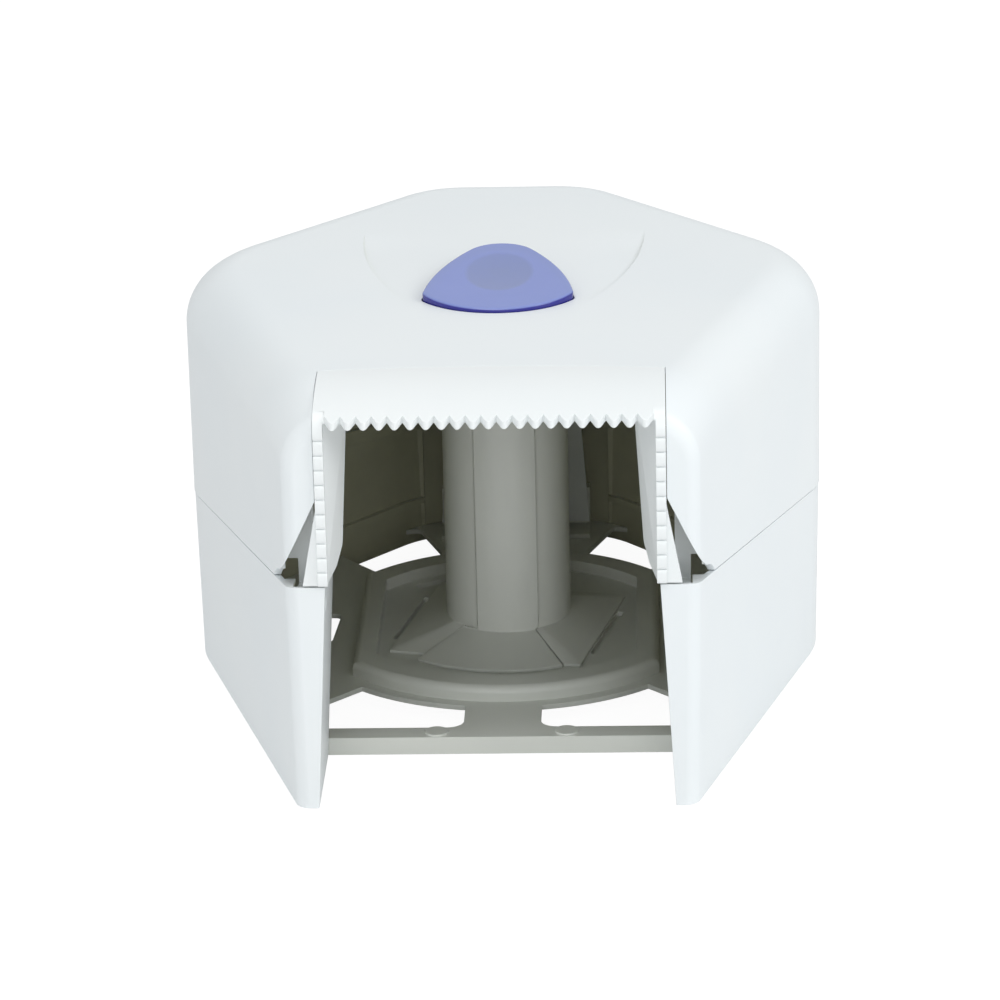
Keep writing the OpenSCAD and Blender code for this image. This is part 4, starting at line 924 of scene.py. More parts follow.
def hinge_arm():
    x1, y0, y1, low = EAR_X + EAR_W, HINGE_Y + ARM_RUN, HINGE_Y + ARM_RUN + RISER_T, HINGE_Z - ARM_DOWN
    foot = block((EAR_X, HINGE_Y, low), (x1, y1, HINGE_Z + ARM_UP))
    riser = block((EAR_X, y0, low), (x1, y1, HINGE_Z + RISER_H))
    gusset = block((EAR_X, y0, HINGE_Z + GUSSET_UP), (EAR_X + BODY_W, y1, HINGE_Z + RISER_H))
    common(gusset, cover_form(WALL - LAP, FRONT_Y, PARTING_Z / 2))
    arm = joined(hinge_rod(EAR_X, EAR_W, EAR_R), foot, riser, gusset)
    return cut(arm, hinge_rod(EAR_X - 1, EAR_W + 2, PIN_R + PIN_PLAY, 48))


def screw_rods(places, start, run, radius=SCREW_R, steps=24):
    return [rod(at, start, run, radius, steps) for at in places]


COVER_IN_Z = COVER_Z - WALL
HOUSING_Z, STRAP_Z, STRAP_T = 143.0, 140.8, 2.5
HOUSING_PLACES = [(sx * 36, y) for sx in (-1, 1) for y in (-26, 0)]
GUIDE_PLACES = [(sx * (12 + SCREW_BOSS_R + 1.2), 74) for sx in (-1, 1)]
BAR_PLACES = [(sx * BAR_HALF_W * 0.7, seam_y(0) + 7 + SEAM_BOW) for sx in (-1, 0, 1)]
FLANGE_Z, GUIDE_Z = STRAP_Z + STRAP_T, STRAP_Z - LAP


def cover_bosses():
    made = []
    for places, z in ((HOUSING_PLACES, HOUSING_Z), (GUIDE_PLACES, GUIDE_Z), (BAR_PLACES, FLANGE_Z)):
        bosses = screw_rods(places, z, COVER_IN_Z - z + LAP, SCREW_BOSS_R, 32)
        holes = screw_rods(places, z - 1, COVER_IN_Z - z)
        made += [cut(boss, hole) for boss, hole in zip(bosses, holes)]
    return made


# %% Front cover: put together


def front_cover():
    cover = cover_form(0, FRONT_Y, PARTING_Z / 4)
    window = carried(wrap(BUTTON_ARCS, BUTTON_W, -BUTTON_GAP), "z", COVER_IN_Z - 1, WALL + 2)
    cut(cover, cover_form(WALL, WALL + FRONT_Y, PARTING_Z / 4 - 1), beyond_parting(COVER_GAP, BELOW),
        bar_seat(), *both(corner_cut()), *hinge_sweeps(), window)
    joined(cover, *both(hinge_arm()), *cover_bosses())
    rounded_edges(cover, 0.18)
    weighted(cut(cover, dish_cutter()))
    exact_normals(cover, cover_surface(0), cover_surface(WALL), dish_surface)
    return finished(cover, "cover_shell", "front_cover", "white_casing")


front_cover()

# %% [markdown]
# The rear housing is the other half: a drafted wall with a sloping rim, open to the wall plate. At
# each side of the outlet its wall turns inwards into a hollow cheek that holds a hinge pin.

# %% Rear housing
SHEET_Z, SHEET_LOW, LIP_Y = 6.7, 4.7, -118.0
LIP_H, LIP_T, LIP_GAP = 3.0, 1.2, 0.5
RIB_X, FAR_LEDGE_Y, PIN_SUNK = 37.8, 63.0, 0.6


def plate_places():
    reach = CORNER_R - WALL - DRAFT - SCREW_BOSS_R + LAP
    front = (side_x(LIP_Y - SCREW_BOSS_R, CORNER_R - reach), LIP_Y - SCREW_BOSS_R)
    return [tuple(CORNER_C + reach * turn(a)) for a in (-13, 35)] + [front]


def outlet_cut(high_z):
    """The slanted opening, cut once through the front wall and the cheeks' return walls."""
    outline = both_halves([(cheek_x(-1), -1), (cheek_x(high_z), high_z)])
    return carried(outline, "y", FRONT_Y - 1, CHEEK_DEPTH + 2)


def cheek_return():
    high = PARTING_Z + 1
    outline = [(cheek_x(0) - 1, 0), (cheek_x(0) + CHEEK_T, 0), (cheek_x(high) + CHEEK_T, high),
               (cheek_x(high) - 1, high)]
    return carried(outline, "y", FRONT_Y + WALL / 2, CHEEK_DEPTH - WALL / 2)


def cheek_ledge():
    ledge = block((OUTER_BOSS_X, LAP + FRONT_Y, PARTING_Z - WALL),
                  (OUTER_BOSS_X + BODY_W, LEDGE_D + FRONT_Y, PARTING_Z + 1))
    return common(ledge, base_form(WALL - LAP, 0, PARTING_Z + 1))


def hinge_bosses():
    inner = hinge_rod(HINGE_WALL_X + CHEEK_T - LAP, BOSS_W + LAP, BOSS_R)
    outer = hinge_rod(OUTER_BOSS_X, FRONT_HALF_W - OUTER_BOSS_X + WALL * 2, BOSS_R)
    return both(inner, common(outer, base_form(WALL - LAP, 0, PARTING_Z)))


def far_ribs():
    rib = block((RIB_X, FAR_Y - WALL * 4, SHEET_Z), (RIB_X + WALL, FAR_Y, SHEET_Z + PARTING_Z))
    ledge = block((RIB_X, FAR_LEDGE_Y, SHEET_Z + WALL * 4),
                  (RIB_X + BODY_W, FAR_LEDGE_Y + BODY_W, SHEET_Z + WALL * 5))
    for made in (rib, ledge):
        common(made, base_form(WALL - LAP, SHEET_Z, PARTING_Z))
    return both(rib, cut(ledge, base_form(WALL * 1.8, 0, PARTING_Z + 1)))


def lip(high_z):
    made = []
    for outer, low, high in ((WALL + LIP_GAP, -LIP_H, LIP_H), (WALL - LAP, -LIP_H, -LAP)):
        front = block((-BODY_W, FRONT_Y - BODY_W, -1), (BODY_W, LIP_Y + WALL * 2, COVER_Z))
        made.append(cut(base_form(outer, 0, high_z), base_form(WALL + LIP_GAP + LIP_T, -1, high_z + 1),
                        beyond_parting(high, ABOVE), beyond_parting(low, BELOW), front))
    return made


def rear_housing():
    high_z = PARTING_Z + LIP_H + 1
    pin_run = side_x(HINGE_Y, WALL) + PIN_SUNK - HINGE_WALL_X + 1
    shell = base_form(0, 0, high_z)
    cut(shell, base_form(WALL, -1, high_z + 1, WALL + FRONT_Y))
    bosses = screw_rods(plate_places(), SHEET_Z, SHEET_Z * 1.4, SCREW_BOSS_R, 40)
    joined(shell, *both(cheek_return(), cheek_ledge()), *hinge_bosses(), *both(*bosses), *far_ribs())
    cut(shell, outlet_cut(high_z + 1), beyond_parting(0, ABOVE),
        *both(hinge_rod(HINGE_WALL_X - 1, pin_run, PIN_R, 48)),
        *both(*screw_rods(plate_places(), -1, SHEET_Z * 2.4)))
    joined(shell, *lip(high_z))
    weighted(rounded_edges(shell, 0.25))
    exact_normals(shell, base_surface(0), base_surface(WALL))
    return finished(shell, "housing_shell", "rear_housing", "white_casing")


rear_housing()

# %% [markdown]
# The tear bar is a separate insert, wrapped over the front of the cover. Its top edge is a row of
# rounded teeth, and the same teeth run down the front of its two legs as thin notches. Guide walls
# slant back behind the legs, and a wedge of bare leg widens towards each foot.

# %% Tear bar
BAR_T, LEG_OUT, LEG_W, LEG_D, FOOT_Z = 2.6, 1.6, 3.5, 5.0, 84.6
TOOTH_PITCH, TEETH_N, NOTCH_TOP_Z, NOTCH_D, NOTCH_W = 5.4, 21, 138.6, 1.0, 0.5
GUIDE_IN, GUIDE_LEAN, GUIDE_RUN, GUIDE_T = 49.5, 4.0, 14.0, 1.8
GUIDE_RISE, GUIDE_SLANT, GUIDE_ROUND = 10.4, 5.0, 3.0
FLARE_H, FLARE_W, FLANGE_W, FLANGE_T = 31.0, 5.4, 14.0, 2.4
FLANK_SHARE, BLUNT_SHARE, FRONT_CUT_Z, TOOTH_LEAST, TOOTH_CROWN = 0.36, 0.12, 110.0, 0.5, 0.35
GUIDE_LAP_X, GUIDE_LAP_Y = 0.5, 0.6


def bent_plate(half_w, high, low, steps=26):
    """The cover's bent top between two depths, as wide as the insert."""
    front = FRONT_Y - TOOTH_H * 1.3
    ys = [front + (BEND_Y - front) * k / steps for k in range(steps + 1)]
    ys.append(BEND_Y + SEAM_BOW + FLANGE_W)
    outline = [(y, float(top_z(y, depth))) for depth, way in ((high, 1), (low, -1)) for y in ys[::way]]
    return carried(outline, "x", -half_w, half_w * 2)


def tooth_share(x):
    """How far a tooth stands out: straight flanks from a sharp notch, and a blunt round tip."""
    past = 0.5 - abs(x / TOOTH_PITCH - round(x / TOOTH_PITCH))
    low, high = FLANK_SHARE - BLUNT_SHARE, FLANK_SHARE + BLUNT_SHARE
    if past < low:
        return past / FLANK_SHARE
    return 1.0 if past > high else 1 - (high - past) ** 2 / (4 * BLUNT_SHARE * FLANK_SHARE)


def tooth_edge(steps=20):
    half, y = TEETH_N * TOOTH_PITCH / 2, FRONT_Y - TOOTH_H / 2
    xs = [half * (2 * k / (TEETH_N * steps) - 1) for k in range(TEETH_N * steps + 1)]
    teeth = [(x, FRONT_Y - TOOTH_H * tooth_share(x)) for x in xs]
    return [(-BAR_HALF_W, y)] + teeth + [(BAR_HALF_W, y)]


def corner_front():
    """Everything outside the rounding from the top down to the legs' faces, over a leg's width."""
    radius, end = FRONT_ROUND + LEG_OUT, FRONT_ROUND + FRONT_Y
    ys = [end - radius * cos(pi / 2 * k / 12) for k in range(13)]
    curve = [(y, float(top_z(y, radius - sqrt(max(0, radius ** 2 - (end - y) ** 2))))) for y in ys]
    front, high = end - radius * 2, COVER_Z + 9
    outline = [(front, FRONT_CUT_Z), (ys[0], FRONT_CUT_Z)] + curve + [(end, high), (front, high)]
    return carried(outline, "x", BAR_HALF_W - LEG_W - 0.6, LEG_W + 1)


def leg():
    """A leg seen from the side: a stack of teeth, each a little rounded, parted by thin notches."""
    face, back = FRONT_Y - LEG_OUT, FRONT_Y + LEG_D
    outline, z, first = [(back, COVER_Z), (face, COVER_Z)], NOTCH_TOP_Z + TOOTH_PITCH, True
    while z > FOOT_Z + TOOTH_LEAST:
        low = max(z - TOOTH_PITCH, FOOT_Z)
        for t in np.linspace(0.5 if first else 0, 1, 5 if first else 9):
            inward = TOOTH_CROWN * abs(2 * t - 1) ** 4
            outline.append((face + inward, z - NOTCH_W / 2 + (low - z + NOTCH_W) * t))
        if low > FOOT_Z + TOOTH_LEAST:
            outline += [(face + NOTCH_D, low + NOTCH_W / 4), (face + NOTCH_D, low - NOTCH_W / 4)]
        z, first = z - TOOTH_PITCH, False
    outline.append((back, outline[-1][1]))
    return carried(outline, "x", BAR_HALF_W - LEG_W, LEG_W)


def guide_outline(inner):
    p0 = np.array([BAR_HALF_W - LEG_W + GUIDE_LAP_X, FRONT_Y - LEG_OUT / 2 + GUIDE_LAP_Y])
    p1 = np.array([inner, GUIDE_RUN + FRONT_Y])
    run = (p1 - p0) / np.linalg.norm(p1 - p0)
    out = GUIDE_T * np.array([run[1], -run[0]])
    return [p0, p1, p1 + out, p0 + out]


def guide_wall():
    """The wall behind a leg: it leans outwards going down, and its lower end is slanted."""
    rings = ((guide_outline(GUIDE_IN + GUIDE_LEAN), FOOT_Z), (guide_outline(GUIDE_IN), COVER_Z))
    halves = [half for a, b, c, d in ends(2, 4) for half in ((a, b, c), (a, c, d))]
    halves += [(a, b, c) for a, b, c, _ in strips(2, 4)] + [(a, c, d) for a, _, c, d in strips(2, 4)]
    wall = solid([(*p, z) for ring, z in rings for p in ring], halves)
    front, back, high = FRONT_Y - GUIDE_RUN, GUIDE_RUN + FRONT_Y, COVER_Z + GUIDE_RUN
    side = [(front, FOOT_Z), (FRONT_Y, FOOT_Z), (back - GUIDE_SLANT, FOOT_Z + GUIDE_RISE * 0.4),
            (back, FOOT_Z + GUIDE_RISE), (back, high), (front, high)]
    return common(wall, carried(rounded(side, GUIDE_ROUND, 10), "x", 0, BAR_HALF_W))


def flare():
    x = BAR_HALF_W - LAP
    outline = [(x, FOOT_Z), (BAR_HALF_W + FLARE_W, FOOT_Z), (x, FOOT_Z + FLARE_H)]
    return carried(outline, "y", FRONT_Y, WALL)


def tear_bar():
    plate = common(bent_plate(BAR_HALF_W, 0, BAR_T),
                   carried(tooth_edge() + bar_back(SEAM_GAP), "z", 0, COVER_Z + 1))
    cut(plate, *both(corner_front()))
    walls = [cut(common(wall, bent_plate(BAR_HALF_W * 2, LAP / 4, BEND_R - 20)), corner_front())
             for wall in (leg(), guide_wall())]
    y0, half, low = seam_y(0) - BAR_T - SEAM_BOW, BAR_HALF_W * 0.85, FLANGE_Z - FLANGE_T
    web = block((-half, y0, low), (half, y0 + BAR_T, COVER_Z - BAR_T / 2))
    flange = block((-half, y0, low), (half, y0 + FLANGE_W + SEAM_BOW + BAR_T, FLANGE_Z))
    joined(plate, *both(*walls, flare()), web, flange)
    cut(plate, *hinge_sweeps(), *screw_rods(BAR_PLACES, low - 1, FLANGE_T + 2))
    weighted(rounded_edges(plate, 0.15))
    return finished(plate, "tear_plate", "tear_bar", "white_insert")


tear_bar()

# %% [markdown]
# The back plate screws to the wall. It is a thin sheet with large openings, so that little plastic
# is used, and it stiffens itself with a raised rim round the hub, a ring under it and a hollow bar
# across the outlet.

# %% Back plate
PLATE_GAP, BAR_Y0, BAR_Y1, ARM_HALF_W, ARM_FILLET_R = 0.25, -108.6, -99.0, 14.2, 6.0
PAD_R, PAD_H, PAD_SPAN, WINDOW_R, WALL_HOLE_R, WALL_BOSS_R = 4.3, 0.7, 47.6, 5.0, 2.6, 6.5
HUB_R, RIM_R, RIM_FLAT, WELL_R, WELL_FLAT = 77.0, 75.0, 58.0, 63.0, 49.5
RIM_Z, RIM_EDGE_R, WELL_Z, FLOOR_T, SLOT_W, SKIRT_R = 12.6, 3.0, 8.0, 2.3, 2.4, 60.0
FOOT_HALF, FOOT_TURN, POST_R, PETAL_A = 37.5, -13.0, 24.0, -98.5
FRONT_WINDOW = ((0.91, -0.99), (0.68, -0.745), (0.3, -0.6))
REAR_WINDOW = ((0.3, 0.6), (0.387, 1.11), (0.515, 1.468), (0.605, 1.445), (0.915, 1.066),
               (0.69, 0.792), (0.5, 0.5))
SIDE_WINDOW = ((0.885, -0.165), (1.15, -0.165), (1.15, 0.225), (0.858, 0.225))
WALL_PLACES = [(sx * 90, sy * 48) for sx in (-1, 1) for sy in (-1, 1)]
STRIKE_PLACES = [(sx * 44.8 * 0.4, 113 - 10) for sx in (-1, 1)]


def windows():
    front, rear, side = ([(HUB_R * x, HUB_R * y) for x, y in table]
                         for table in (FRONT_WINDOW, REAR_WINDOW, SIDE_WINDOW))
    front = [(ARM_HALF_W, BAR_Y1), (front[0][0], BAR_Y1)] + front + [(ARM_HALF_W, front[1][1])]
    made = [carried(rounded(outline, radius, 8), "z", SHEET_LOW - 1, SHEET_Z - SHEET_LOW + 2)
            for outline, radius in ((front, WINDOW_R / 4), (rear, WINDOW_R / 2), (side, WINDOW_R / 2))]
    for window in made[:2]:
        cut(window, rod((0, 0), -1, 30, HUB_R * 1.035, 192))
    return both(*made)


def arm_fillet():
    c = (ARM_HALF_W + ARM_FILLET_R, BAR_Y1 + ARM_FILLET_R)
    made = block((ARM_HALF_W - LAP, BAR_Y1 - LAP, SHEET_LOW), (*c, SHEET_Z))
    return cut(made, rod(c, SHEET_LOW - 1, SHEET_Z - SHEET_LOW + 2, ARM_FILLET_R, 64))


def rolled_profile(radius, z0, z1, edge, steps=8):
    return [(0.0, z0), (radius, z0)] + arc((radius - edge, z1 - edge), edge, 0, 90, steps) + [(0.0, z1)]


def hub():
    rim = turned(rolled_profile(RIM_R, SHEET_LOW, RIM_Z, RIM_EDGE_R), 192)
    half = rolled_profile(RIM_FLAT, SHEET_LOW, RIM_Z, RIM_EDGE_R)[1:-1]
    common(rim, carried(both_halves(half), "y", -HUB_R, HUB_R * 2))
    inner = SKIRT_R - WALL
    return rim, turned([(inner, 0), (SKIRT_R, 0), (SKIRT_R, SHEET_Z), (inner, SHEET_Z)], 128)


def hub_well():
    flats = block((-WELL_FLAT, -WELL_R, WELL_Z - 1), (WELL_FLAT, WELL_R, COVER_Z + WELL_Z + 1))
    return common(rod((0, 0), WELL_Z, COVER_Z, WELL_R, 192), flats)


def foot_slots():
    """Three long slots beside the spindle's foot, and a short one off its far corner."""
    edge, run = FOOT_HALF + LAP, FOOT_HALF * 0.6
    slots = [(edge, edge + SLOT_W, run, FOOT_TURN + a) for a in (0, 90, 180)]
    slots.append((FOOT_HALF * 1.3, FOOT_HALF * 1.55, FOOT_HALF / 4, FOOT_TURN + 135))
    made = []
    for x0, x1, y, angle in slots:
        c, s = turn(angle)
        outline = [(x * c - y * s, x * s + y * c) for x, y in ((x0, -y), (x1, -y), (x1, y), (x0, y))]
        made.append(carried(outline, "z", WELL_Z - FLOOR_T * 0.8, 40))
    return made


def crossbar():
    side, leg_y = CHEEK_FOOT_IN + CHEEK_T, (BAR_Y1 - BAR_Y0) / 4
    y0, y1 = BAR_Y0 + leg_y, BAR_Y1 - leg_y
    outline = [(BAR_Y0, 0), (y0, 0), (y0, SHEET_LOW), (y1, SHEET_LOW), (y1, 0), (BAR_Y1, 0),
               (BAR_Y1, SHEET_Z), (BAR_Y0, SHEET_Z)]
    pad_at, pad_h = (PAD_SPAN / 2, (BAR_Y0 + BAR_Y1) / 2), SHEET_Z - SHEET_LOW + PAD_H
    return carried(outline, "x", -side, side * 2), *both(rod(pad_at, SHEET_LOW, pad_h, PAD_R, 64))


def spindle_places():
    feet = [tuple(FOOT_HALF * 0.92 * turn(FOOT_TURN + a)) for a in (45, 135, 225)]
    return feet + [tuple((POST_R + HEAD_R * 2) * turn(PETAL_A))]


def back_plate():
    inset = WALL + PLATE_GAP + DRAFT * 0.93
    sheet = ringed([flat_ring(inset, WALL + PLATE_GAP + FRONT_Y, z) for z in (SHEET_LOW, SHEET_Z)])
    side = cheek_x(0) + CHEEK_T + PLATE_GAP
    cut(sheet, block((-side, FRONT_Y - 1, -1), (side, BAR_Y1 - LAP, 40)), *windows())
    joined(sheet, *both(arm_fillet()), *crossbar(), *hub(),
           *screw_rods(WALL_PLACES, 0, SHEET_Z, WALL_BOSS_R, 48),
           *screw_rods(STRIKE_PLACES, 0, SHEET_Z, SCREW_BOSS_R, 40))
    holes = screw_rods(WALL_PLACES, -1, SHEET_Z + 2, WALL_HOLE_R, 40)
    holes += both(*screw_rods(plate_places(), -1, SHEET_Z + 2))
    for at in spindle_places():
        holes += [rod(at, -1, WELL_Z + 2, SCREW_R, 24),
                  rod(at, -1, WELL_Z - FLOOR_T + 1, HEAD_R + LAP, 32)]
    holes += screw_rods(STRIKE_PLACES, WALL, SHEET_Z)
    cut(sheet, hub_well(), *foot_slots(), *holes)
    weighted(split_faces(rounded_edges(sheet, 0.2)))
    return finished(sheet, "plate_sheet", "back_plate", "grey_plate")


back_plate()

# %% [markdown]
# The spindle carries the roll. Its post grows out of a square foot, and the front of it is a
# separate key: a strip that stands proud of the post and a petal that spreads over the hub.

# %% Spindle post and key
POST_Z, POST_WALL, FOOT_TOP_Z, FOOT_HOLE_H = 112.0, 2.4, 15.0, 3.6
PETAL_REACH, PETAL_HALF_A = 50.0, 34.0
KEY_T, KEY_LEFT, KEY_RIGHT, KEY_FROM, KEY_SWEEP = 1.4, 11.4, 12.0, -150, 120


def sloped_foot(steps=128):
    """From the square foot up to the round post, one ring of points for each height."""
    square, top, (c, s) = [], [], turn(FOOT_TURN)
    for k in range(steps):
        x, y = turn(360 * k / steps)
        reach, at = FOOT_HALF / max(abs(x), abs(y)), np.array([x * c - y * s, x * s + y * c])
        square.append(at * reach)
        top.append(at * POST_R)
    rings = ((square, WELL_Z), (square, WELL_Z + POST_WALL / 2), (top, FOOT_TOP_Z))
    return solid([(*p, z) for ring, z in rings for p in ring], strips(3, steps) + ends(3, steps))


def spindle_post():
    foot, low, high = sloped_foot(), WELL_Z - 1, FOOT_TOP_Z + LAP * 2
    cut(foot, turned([(POST_R - 3, low), (HUB_R, low), (HUB_R, high), (POST_R - 3, high)], 96,
                     PETAL_A - PETAL_HALF_A - 1, PETAL_HALF_A * 2 + 2))
    post = joined(turned(rolled_profile(POST_R, WELL_Z, POST_Z, POST_WALL), 160), foot)
    cut(post, rod((0, 0), low, POST_Z - low - POST_WALL, POST_R - POST_WALL, 160),
        *screw_rods(spindle_places(), low, FOOT_HOLE_H + 1))
    weighted(rounded_edges(post, 0.3))
    return finished(post, "spindle_tube", "spindle_post", "grey_spindle")


def spindle_key():
    high_z, cut_z = POST_Z - POST_WALL * 2, FOOT_TOP_Z + LAP
    profile = [(POST_R, WELL_Z), (PETAL_REACH, WELL_Z), (PETAL_REACH, WELL_Z + KEY_T),
               (POST_R + KEY_T, FOOT_TOP_Z), (POST_R + KEY_T, high_z), (POST_R, high_z)]
    key = turned(profile, 120, KEY_FROM, KEY_SWEEP)
    wedges = []
    for sign in (-1, 1):
        angle = PETAL_A + PETAL_HALF_A * sign
        along, beside = turn(angle) * HUB_R, turn(angle + 90 * sign) * HUB_R
        wedges.append(carried([(0, 0), along, along + beside, beside], "z", 0, cut_z))
    cut(key, block((-HUB_R - KEY_LEFT, -HUB_R, cut_z - LAP / 2), (-KEY_LEFT, 0, POST_Z)),
        block((KEY_RIGHT, -HUB_R, cut_z - LAP / 2), (KEY_RIGHT + HUB_R, 0, POST_Z)), *wedges,
        *screw_rods(spindle_places()[3:], WELL_Z - 1, FOOT_HOLE_H + 1))
    weighted(rounded_edges(key, 0.45, 3))
    return finished(key, "key_form", "spindle_key", "grey_spindle")


spindle_post()
spindle_key()

# %% [markdown]
# The button's outline is the same chain of arcs as its window, only smaller. Its face tilts up
# towards the far wall, its rim rolls over like a worn pebble, and a long thumb dimple is pressed
# into the middle.

# %% Lock button
BUTTON_EDGE, BUTTON_TILT, BUTTON_DOME, BUTTON_ROLL, ROLL_STEPS = 0.7, 5.0, 0.8, 1.2, 6
BUTTON_RIM_W, BUTTON_RIM_T, PLUNGER_Y = 2.0, 1.8, -15.0
BUTTON_FRONT = -BUTTON_W * (BUTTON_ARCS[0][2] - BUTTON_ARCS[0][3])
BUTTON_BACK = BUTTON_W * (BUTTON_ARCS[3][2] + BUTTON_ARCS[3][3])
BUTTON_LOW_Z = COVER_IN_Z - BUTTON_GAP - BUTTON_RIM_T


def tilt(y):
    return BUTTON_TILT * (y + BUTTON_FRONT) / (BUTTON_FRONT + BUTTON_BACK)


def button_ring(inset, z, tilted, rise):
    return [(x, y, z + tilted * tilt(y) + rise) for x, y in wrap(BUTTON_ARCS, BUTTON_W, inset)]


def button_slab(inset, start, run):
    return carried(wrap(BUTTON_ARCS, BUTTON_W, inset), "z", start, run)


def thumb_dimple(face_z):
    """The form of the thumb's place: a shallow bowl, longer than wide, that leans with the face."""
    ball_r = (DIMPLE_R ** 2 + DIMPLE_D ** 2) / (2 * DIMPLE_D)
    radii = [DIMPLE_R * BOWL_PAST * k / BOWL_STEPS for k in range(BOWL_STEPS + 1)]
    bowl = [(r, ball_r - DIMPLE_D - sqrt(ball_r ** 2 - r * r)) for r in radii]
    dimple = turned(bowl + [(radii[-1], BOWL_LID), (0.0, BOWL_LID)], 128)
    home = Matrix.Translation((0, -SPINDLE_Y * MM, 0))
    longer = Matrix.Diagonal((1, DIMPLE_LONG, 1, 1))
    lean = Matrix.Rotation(atan(BUTTON_TILT / (BUTTON_FRONT + BUTTON_BACK)), 4, "X")
    centre = Matrix.Translation((0, (DIMPLE_Y + SPINDLE_Y) * MM, face_z * MM))
    dimple.data.transform(centre @ lean @ longer @ home)
    return dimple


def lock_button():
    z, low, rim_z = COVER_Z + BUTTON_EDGE, BUTTON_LOW_Z, BUTTON_LOW_Z + BUTTON_RIM_T
    rings = [button_ring(0, low, 0, 0), button_ring(0, z, 1, 0)]
    for k in range(1, ROLL_STEPS + 1):
        c, s = turn(90 * k / ROLL_STEPS)
        rings.append(button_ring(BUTTON_ROLL * (1 - c), z, 1, BUTTON_DOME * s))
    cap = cut(ringed(rings), thumb_dimple(z + tilt(DIMPLE_Y) + BUTTON_DOME))
    cut(cap, button_slab(WALL, low - 1, COVER_Z - low + 1))
    rim = cut(button_slab(-BUTTON_RIM_W, low, BUTTON_RIM_T),
              button_slab(WALL - LAP, low - 1, BUTTON_RIM_T + 2))
    post = cut(rod((0, PLUNGER_Y), rim_z, COVER_Z - rim_z + LAP, SCREW_BOSS_R, 40),
               rod((0, PLUNGER_Y), rim_z - 1, COVER_Z - rim_z + 1, SCREW_R, 24))
    joined(cap, rim, post)
    weighted(rounded_edges(cap, 0.15, 2, 24), 60)
    return finished(cap, "button_cap", "lock_button", "blue_button")


lock_button()

# %% [markdown]
# The remaining parts are small or hidden, and their solids already have the right form. Each one
# is copied, its edges are rounded and its normals weighted, and the copy stands for the solid.

# %% Small and hidden parts


def dressed(node, slot, width):
    piece = placed(node, frame["nodes"][node].data.copy())
    weighted(rounded_edges(piece, width, 2, 32, 0.01), 45)
    return finished(piece, node + "_moulded", node, slot)


for node, slot, width in (
        ("button_plunger", "latch_plastic", 0.25), ("latch_housing", "latch_plastic", 0.25),
        ("latch_strap", "latch_plastic", 0.25), ("latch_hook", "latch_plastic", 0.3),
        ("latch_guide", "latch_plastic", 0.25), ("strike_plate", "grey_plate", 0.25),
        ("hinge_pin_left", "pin_steel", 0.3), ("hinge_pin_right", "pin_steel", 0.3)):
    dressed(node, slot, width)
for node in ("plate_screws", "spindle_screws", "strike_screws", "tear_bar_screws", "button_screw",
             "latch_housing_screws", "latch_hook_screws", "latch_guide_screws"):
    dressed(node, "screw_steel", 0.2)

# %% [markdown]
# The button's spring is a coil of steel wire with closed, level ends. It is made as one tube along
# a helix and flattens as the button goes down.

# %% Button spring
SPRING_LEN, SPRING_R, WIRE_R, SPRING_TURNS, SPRING_FLOOR = 15.0, 4.2, 0.4, 6, 122.0


def button_spring(rings_per_turn=40, sides=14):
    count, points = SPRING_TURNS * rings_per_turn, []
    for k in range(count + 1):
        out = np.array([*turn(360 * k / rings_per_turn), 0])
        height = SPRING_FLOOR + WIRE_R + (SPRING_LEN - 2 * WIRE_R) * k / count
        centre = out * SPRING_R + (0, PLUNGER_Y, height)
        for j in range(sides):
            c, s = turn(360 * j / sides)
            points.append(tuple(centre + WIRE_R * (c * out + s * np.array([0, 0, 1]))))
    wire = weighted(solid(points, strips(count + 1, sides) + ends(count + 1, sides)))
    finished(wire, "spring_wire", "button_spring", "pin_steel")
    anchor = (0, (PLUNGER_Y + SPINDLE_Y) * MM, SPRING_FLOOR * MM)
    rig.squash(wire, "button_press", axis=(0, 0, 1), anchor=anchor, keep=0.7)
    return wire


button_spring()

# %% [markdown]
# The floor is plain and pale. In the photograph the background is pure white, so the floor shows a
# little extra white to the camera only; it still takes the soft shadow.

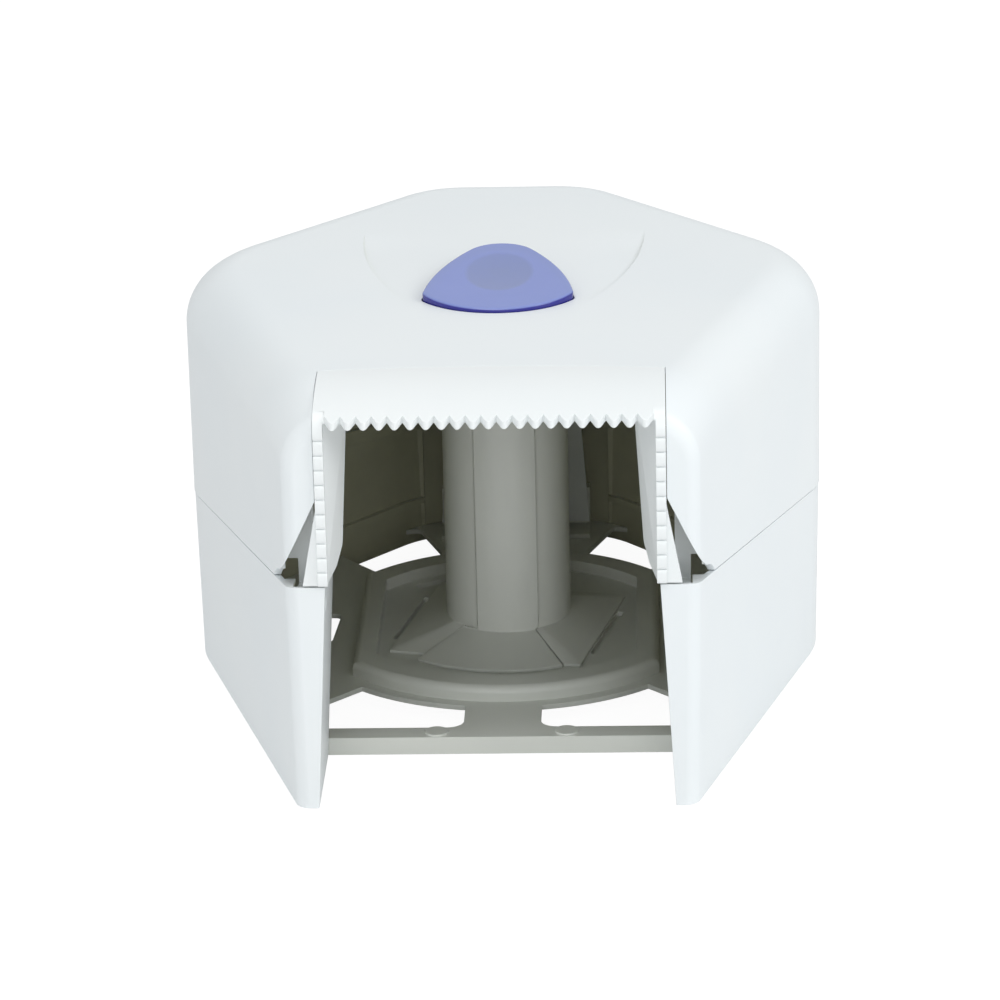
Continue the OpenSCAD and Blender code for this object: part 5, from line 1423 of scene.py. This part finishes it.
# %% Floor and light
GREY_CARD, SEEN_CARD, SEEN_GLOW = (0.9, 0.9, 0.9, 1), (0.14, 0.14, 0.14, 1), (0.95, 0.95, 0.95, 1)


def floor():
    mesh = bpy.data.meshes.new("floor")
    corners = [(x, y, -0.0002) for x, y in ((-4, -4), (4, -4), (4, 6), (-4, 6))]
    mesh.from_pydata(corners, [], [(0, 1, 2, 3)])
    made = placed("floor", mesh)
    finish = Finish("floor_card", Roughness=0.9, Specular_IOR_Level=0.0, Emission_Strength=1.0)
    seen = finish.node("LightPath", out="Is Camera Ray")
    finish.feed("Base Color", finish.mix(seen, GREY_CARD, SEEN_CARD))
    finish.feed("Emission Color", finish.mix(seen, (0, 0, 0, 1), SEEN_GLOW))
    mesh.materials.append(finish.material)
    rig.stage(made)
    return made


def sky():
    world = bpy.data.worlds.new("studio")
    bpy.context.scene.world = world
    world.use_nodes = True
    tree = Tree(world.node_tree)
    light = tree.node("Background", {"Color": (0.97, 0.99, 1, 1), "Strength": 0.60})
    white = tree.node("Background", {"Color": (1, 1, 1, 1), "Strength": 1.0})
    rays = [tree.node("LightPath", out=ray) for ray in ("Is Camera Ray", "Is Transmission Ray")]
    seen = tree.node("Math", dict(enumerate(rays)), operation="MAXIMUM")
    tree.node("OutputWorld", {0: tree.node("MixShader", {0: seen, 1: light, 2: white})})


def lamp(name, at, aim, size, power):
    data = bpy.data.lights.new(name, "AREA")
    data.shape, data.size, data.energy = "DISK", size, power
    made = placed(name, data)
    made.location = at
    made.rotation_mode = "QUATERNION"
    made.rotation_quaternion = (Vector(aim) - Vector(at)).to_track_quat("-Z", "Y")
    return made


floor()
sky()
lamp("key_light", (2.0, -0.9, 1.5), (0, 0, 0.08), 1.2, 17)
lamp("top_light", (-0.3, -0.9, 2.2), (0, 0, 0.08), 1.4, 15)
lamp("front_light", (0.1, -2.4, 0.7), (0, 0, 0.06), 1.6, 8)
print("lamps:", [o.name for o in bpy.data.objects if o.type == "LIGHT"])

# %% Sizes
with open("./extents.json", "w") as report:
    json.dump({"cad": [list(c) for c in cad_box], "visual": [list(c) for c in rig.bounds()]}, report)
print(open("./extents.json").read())
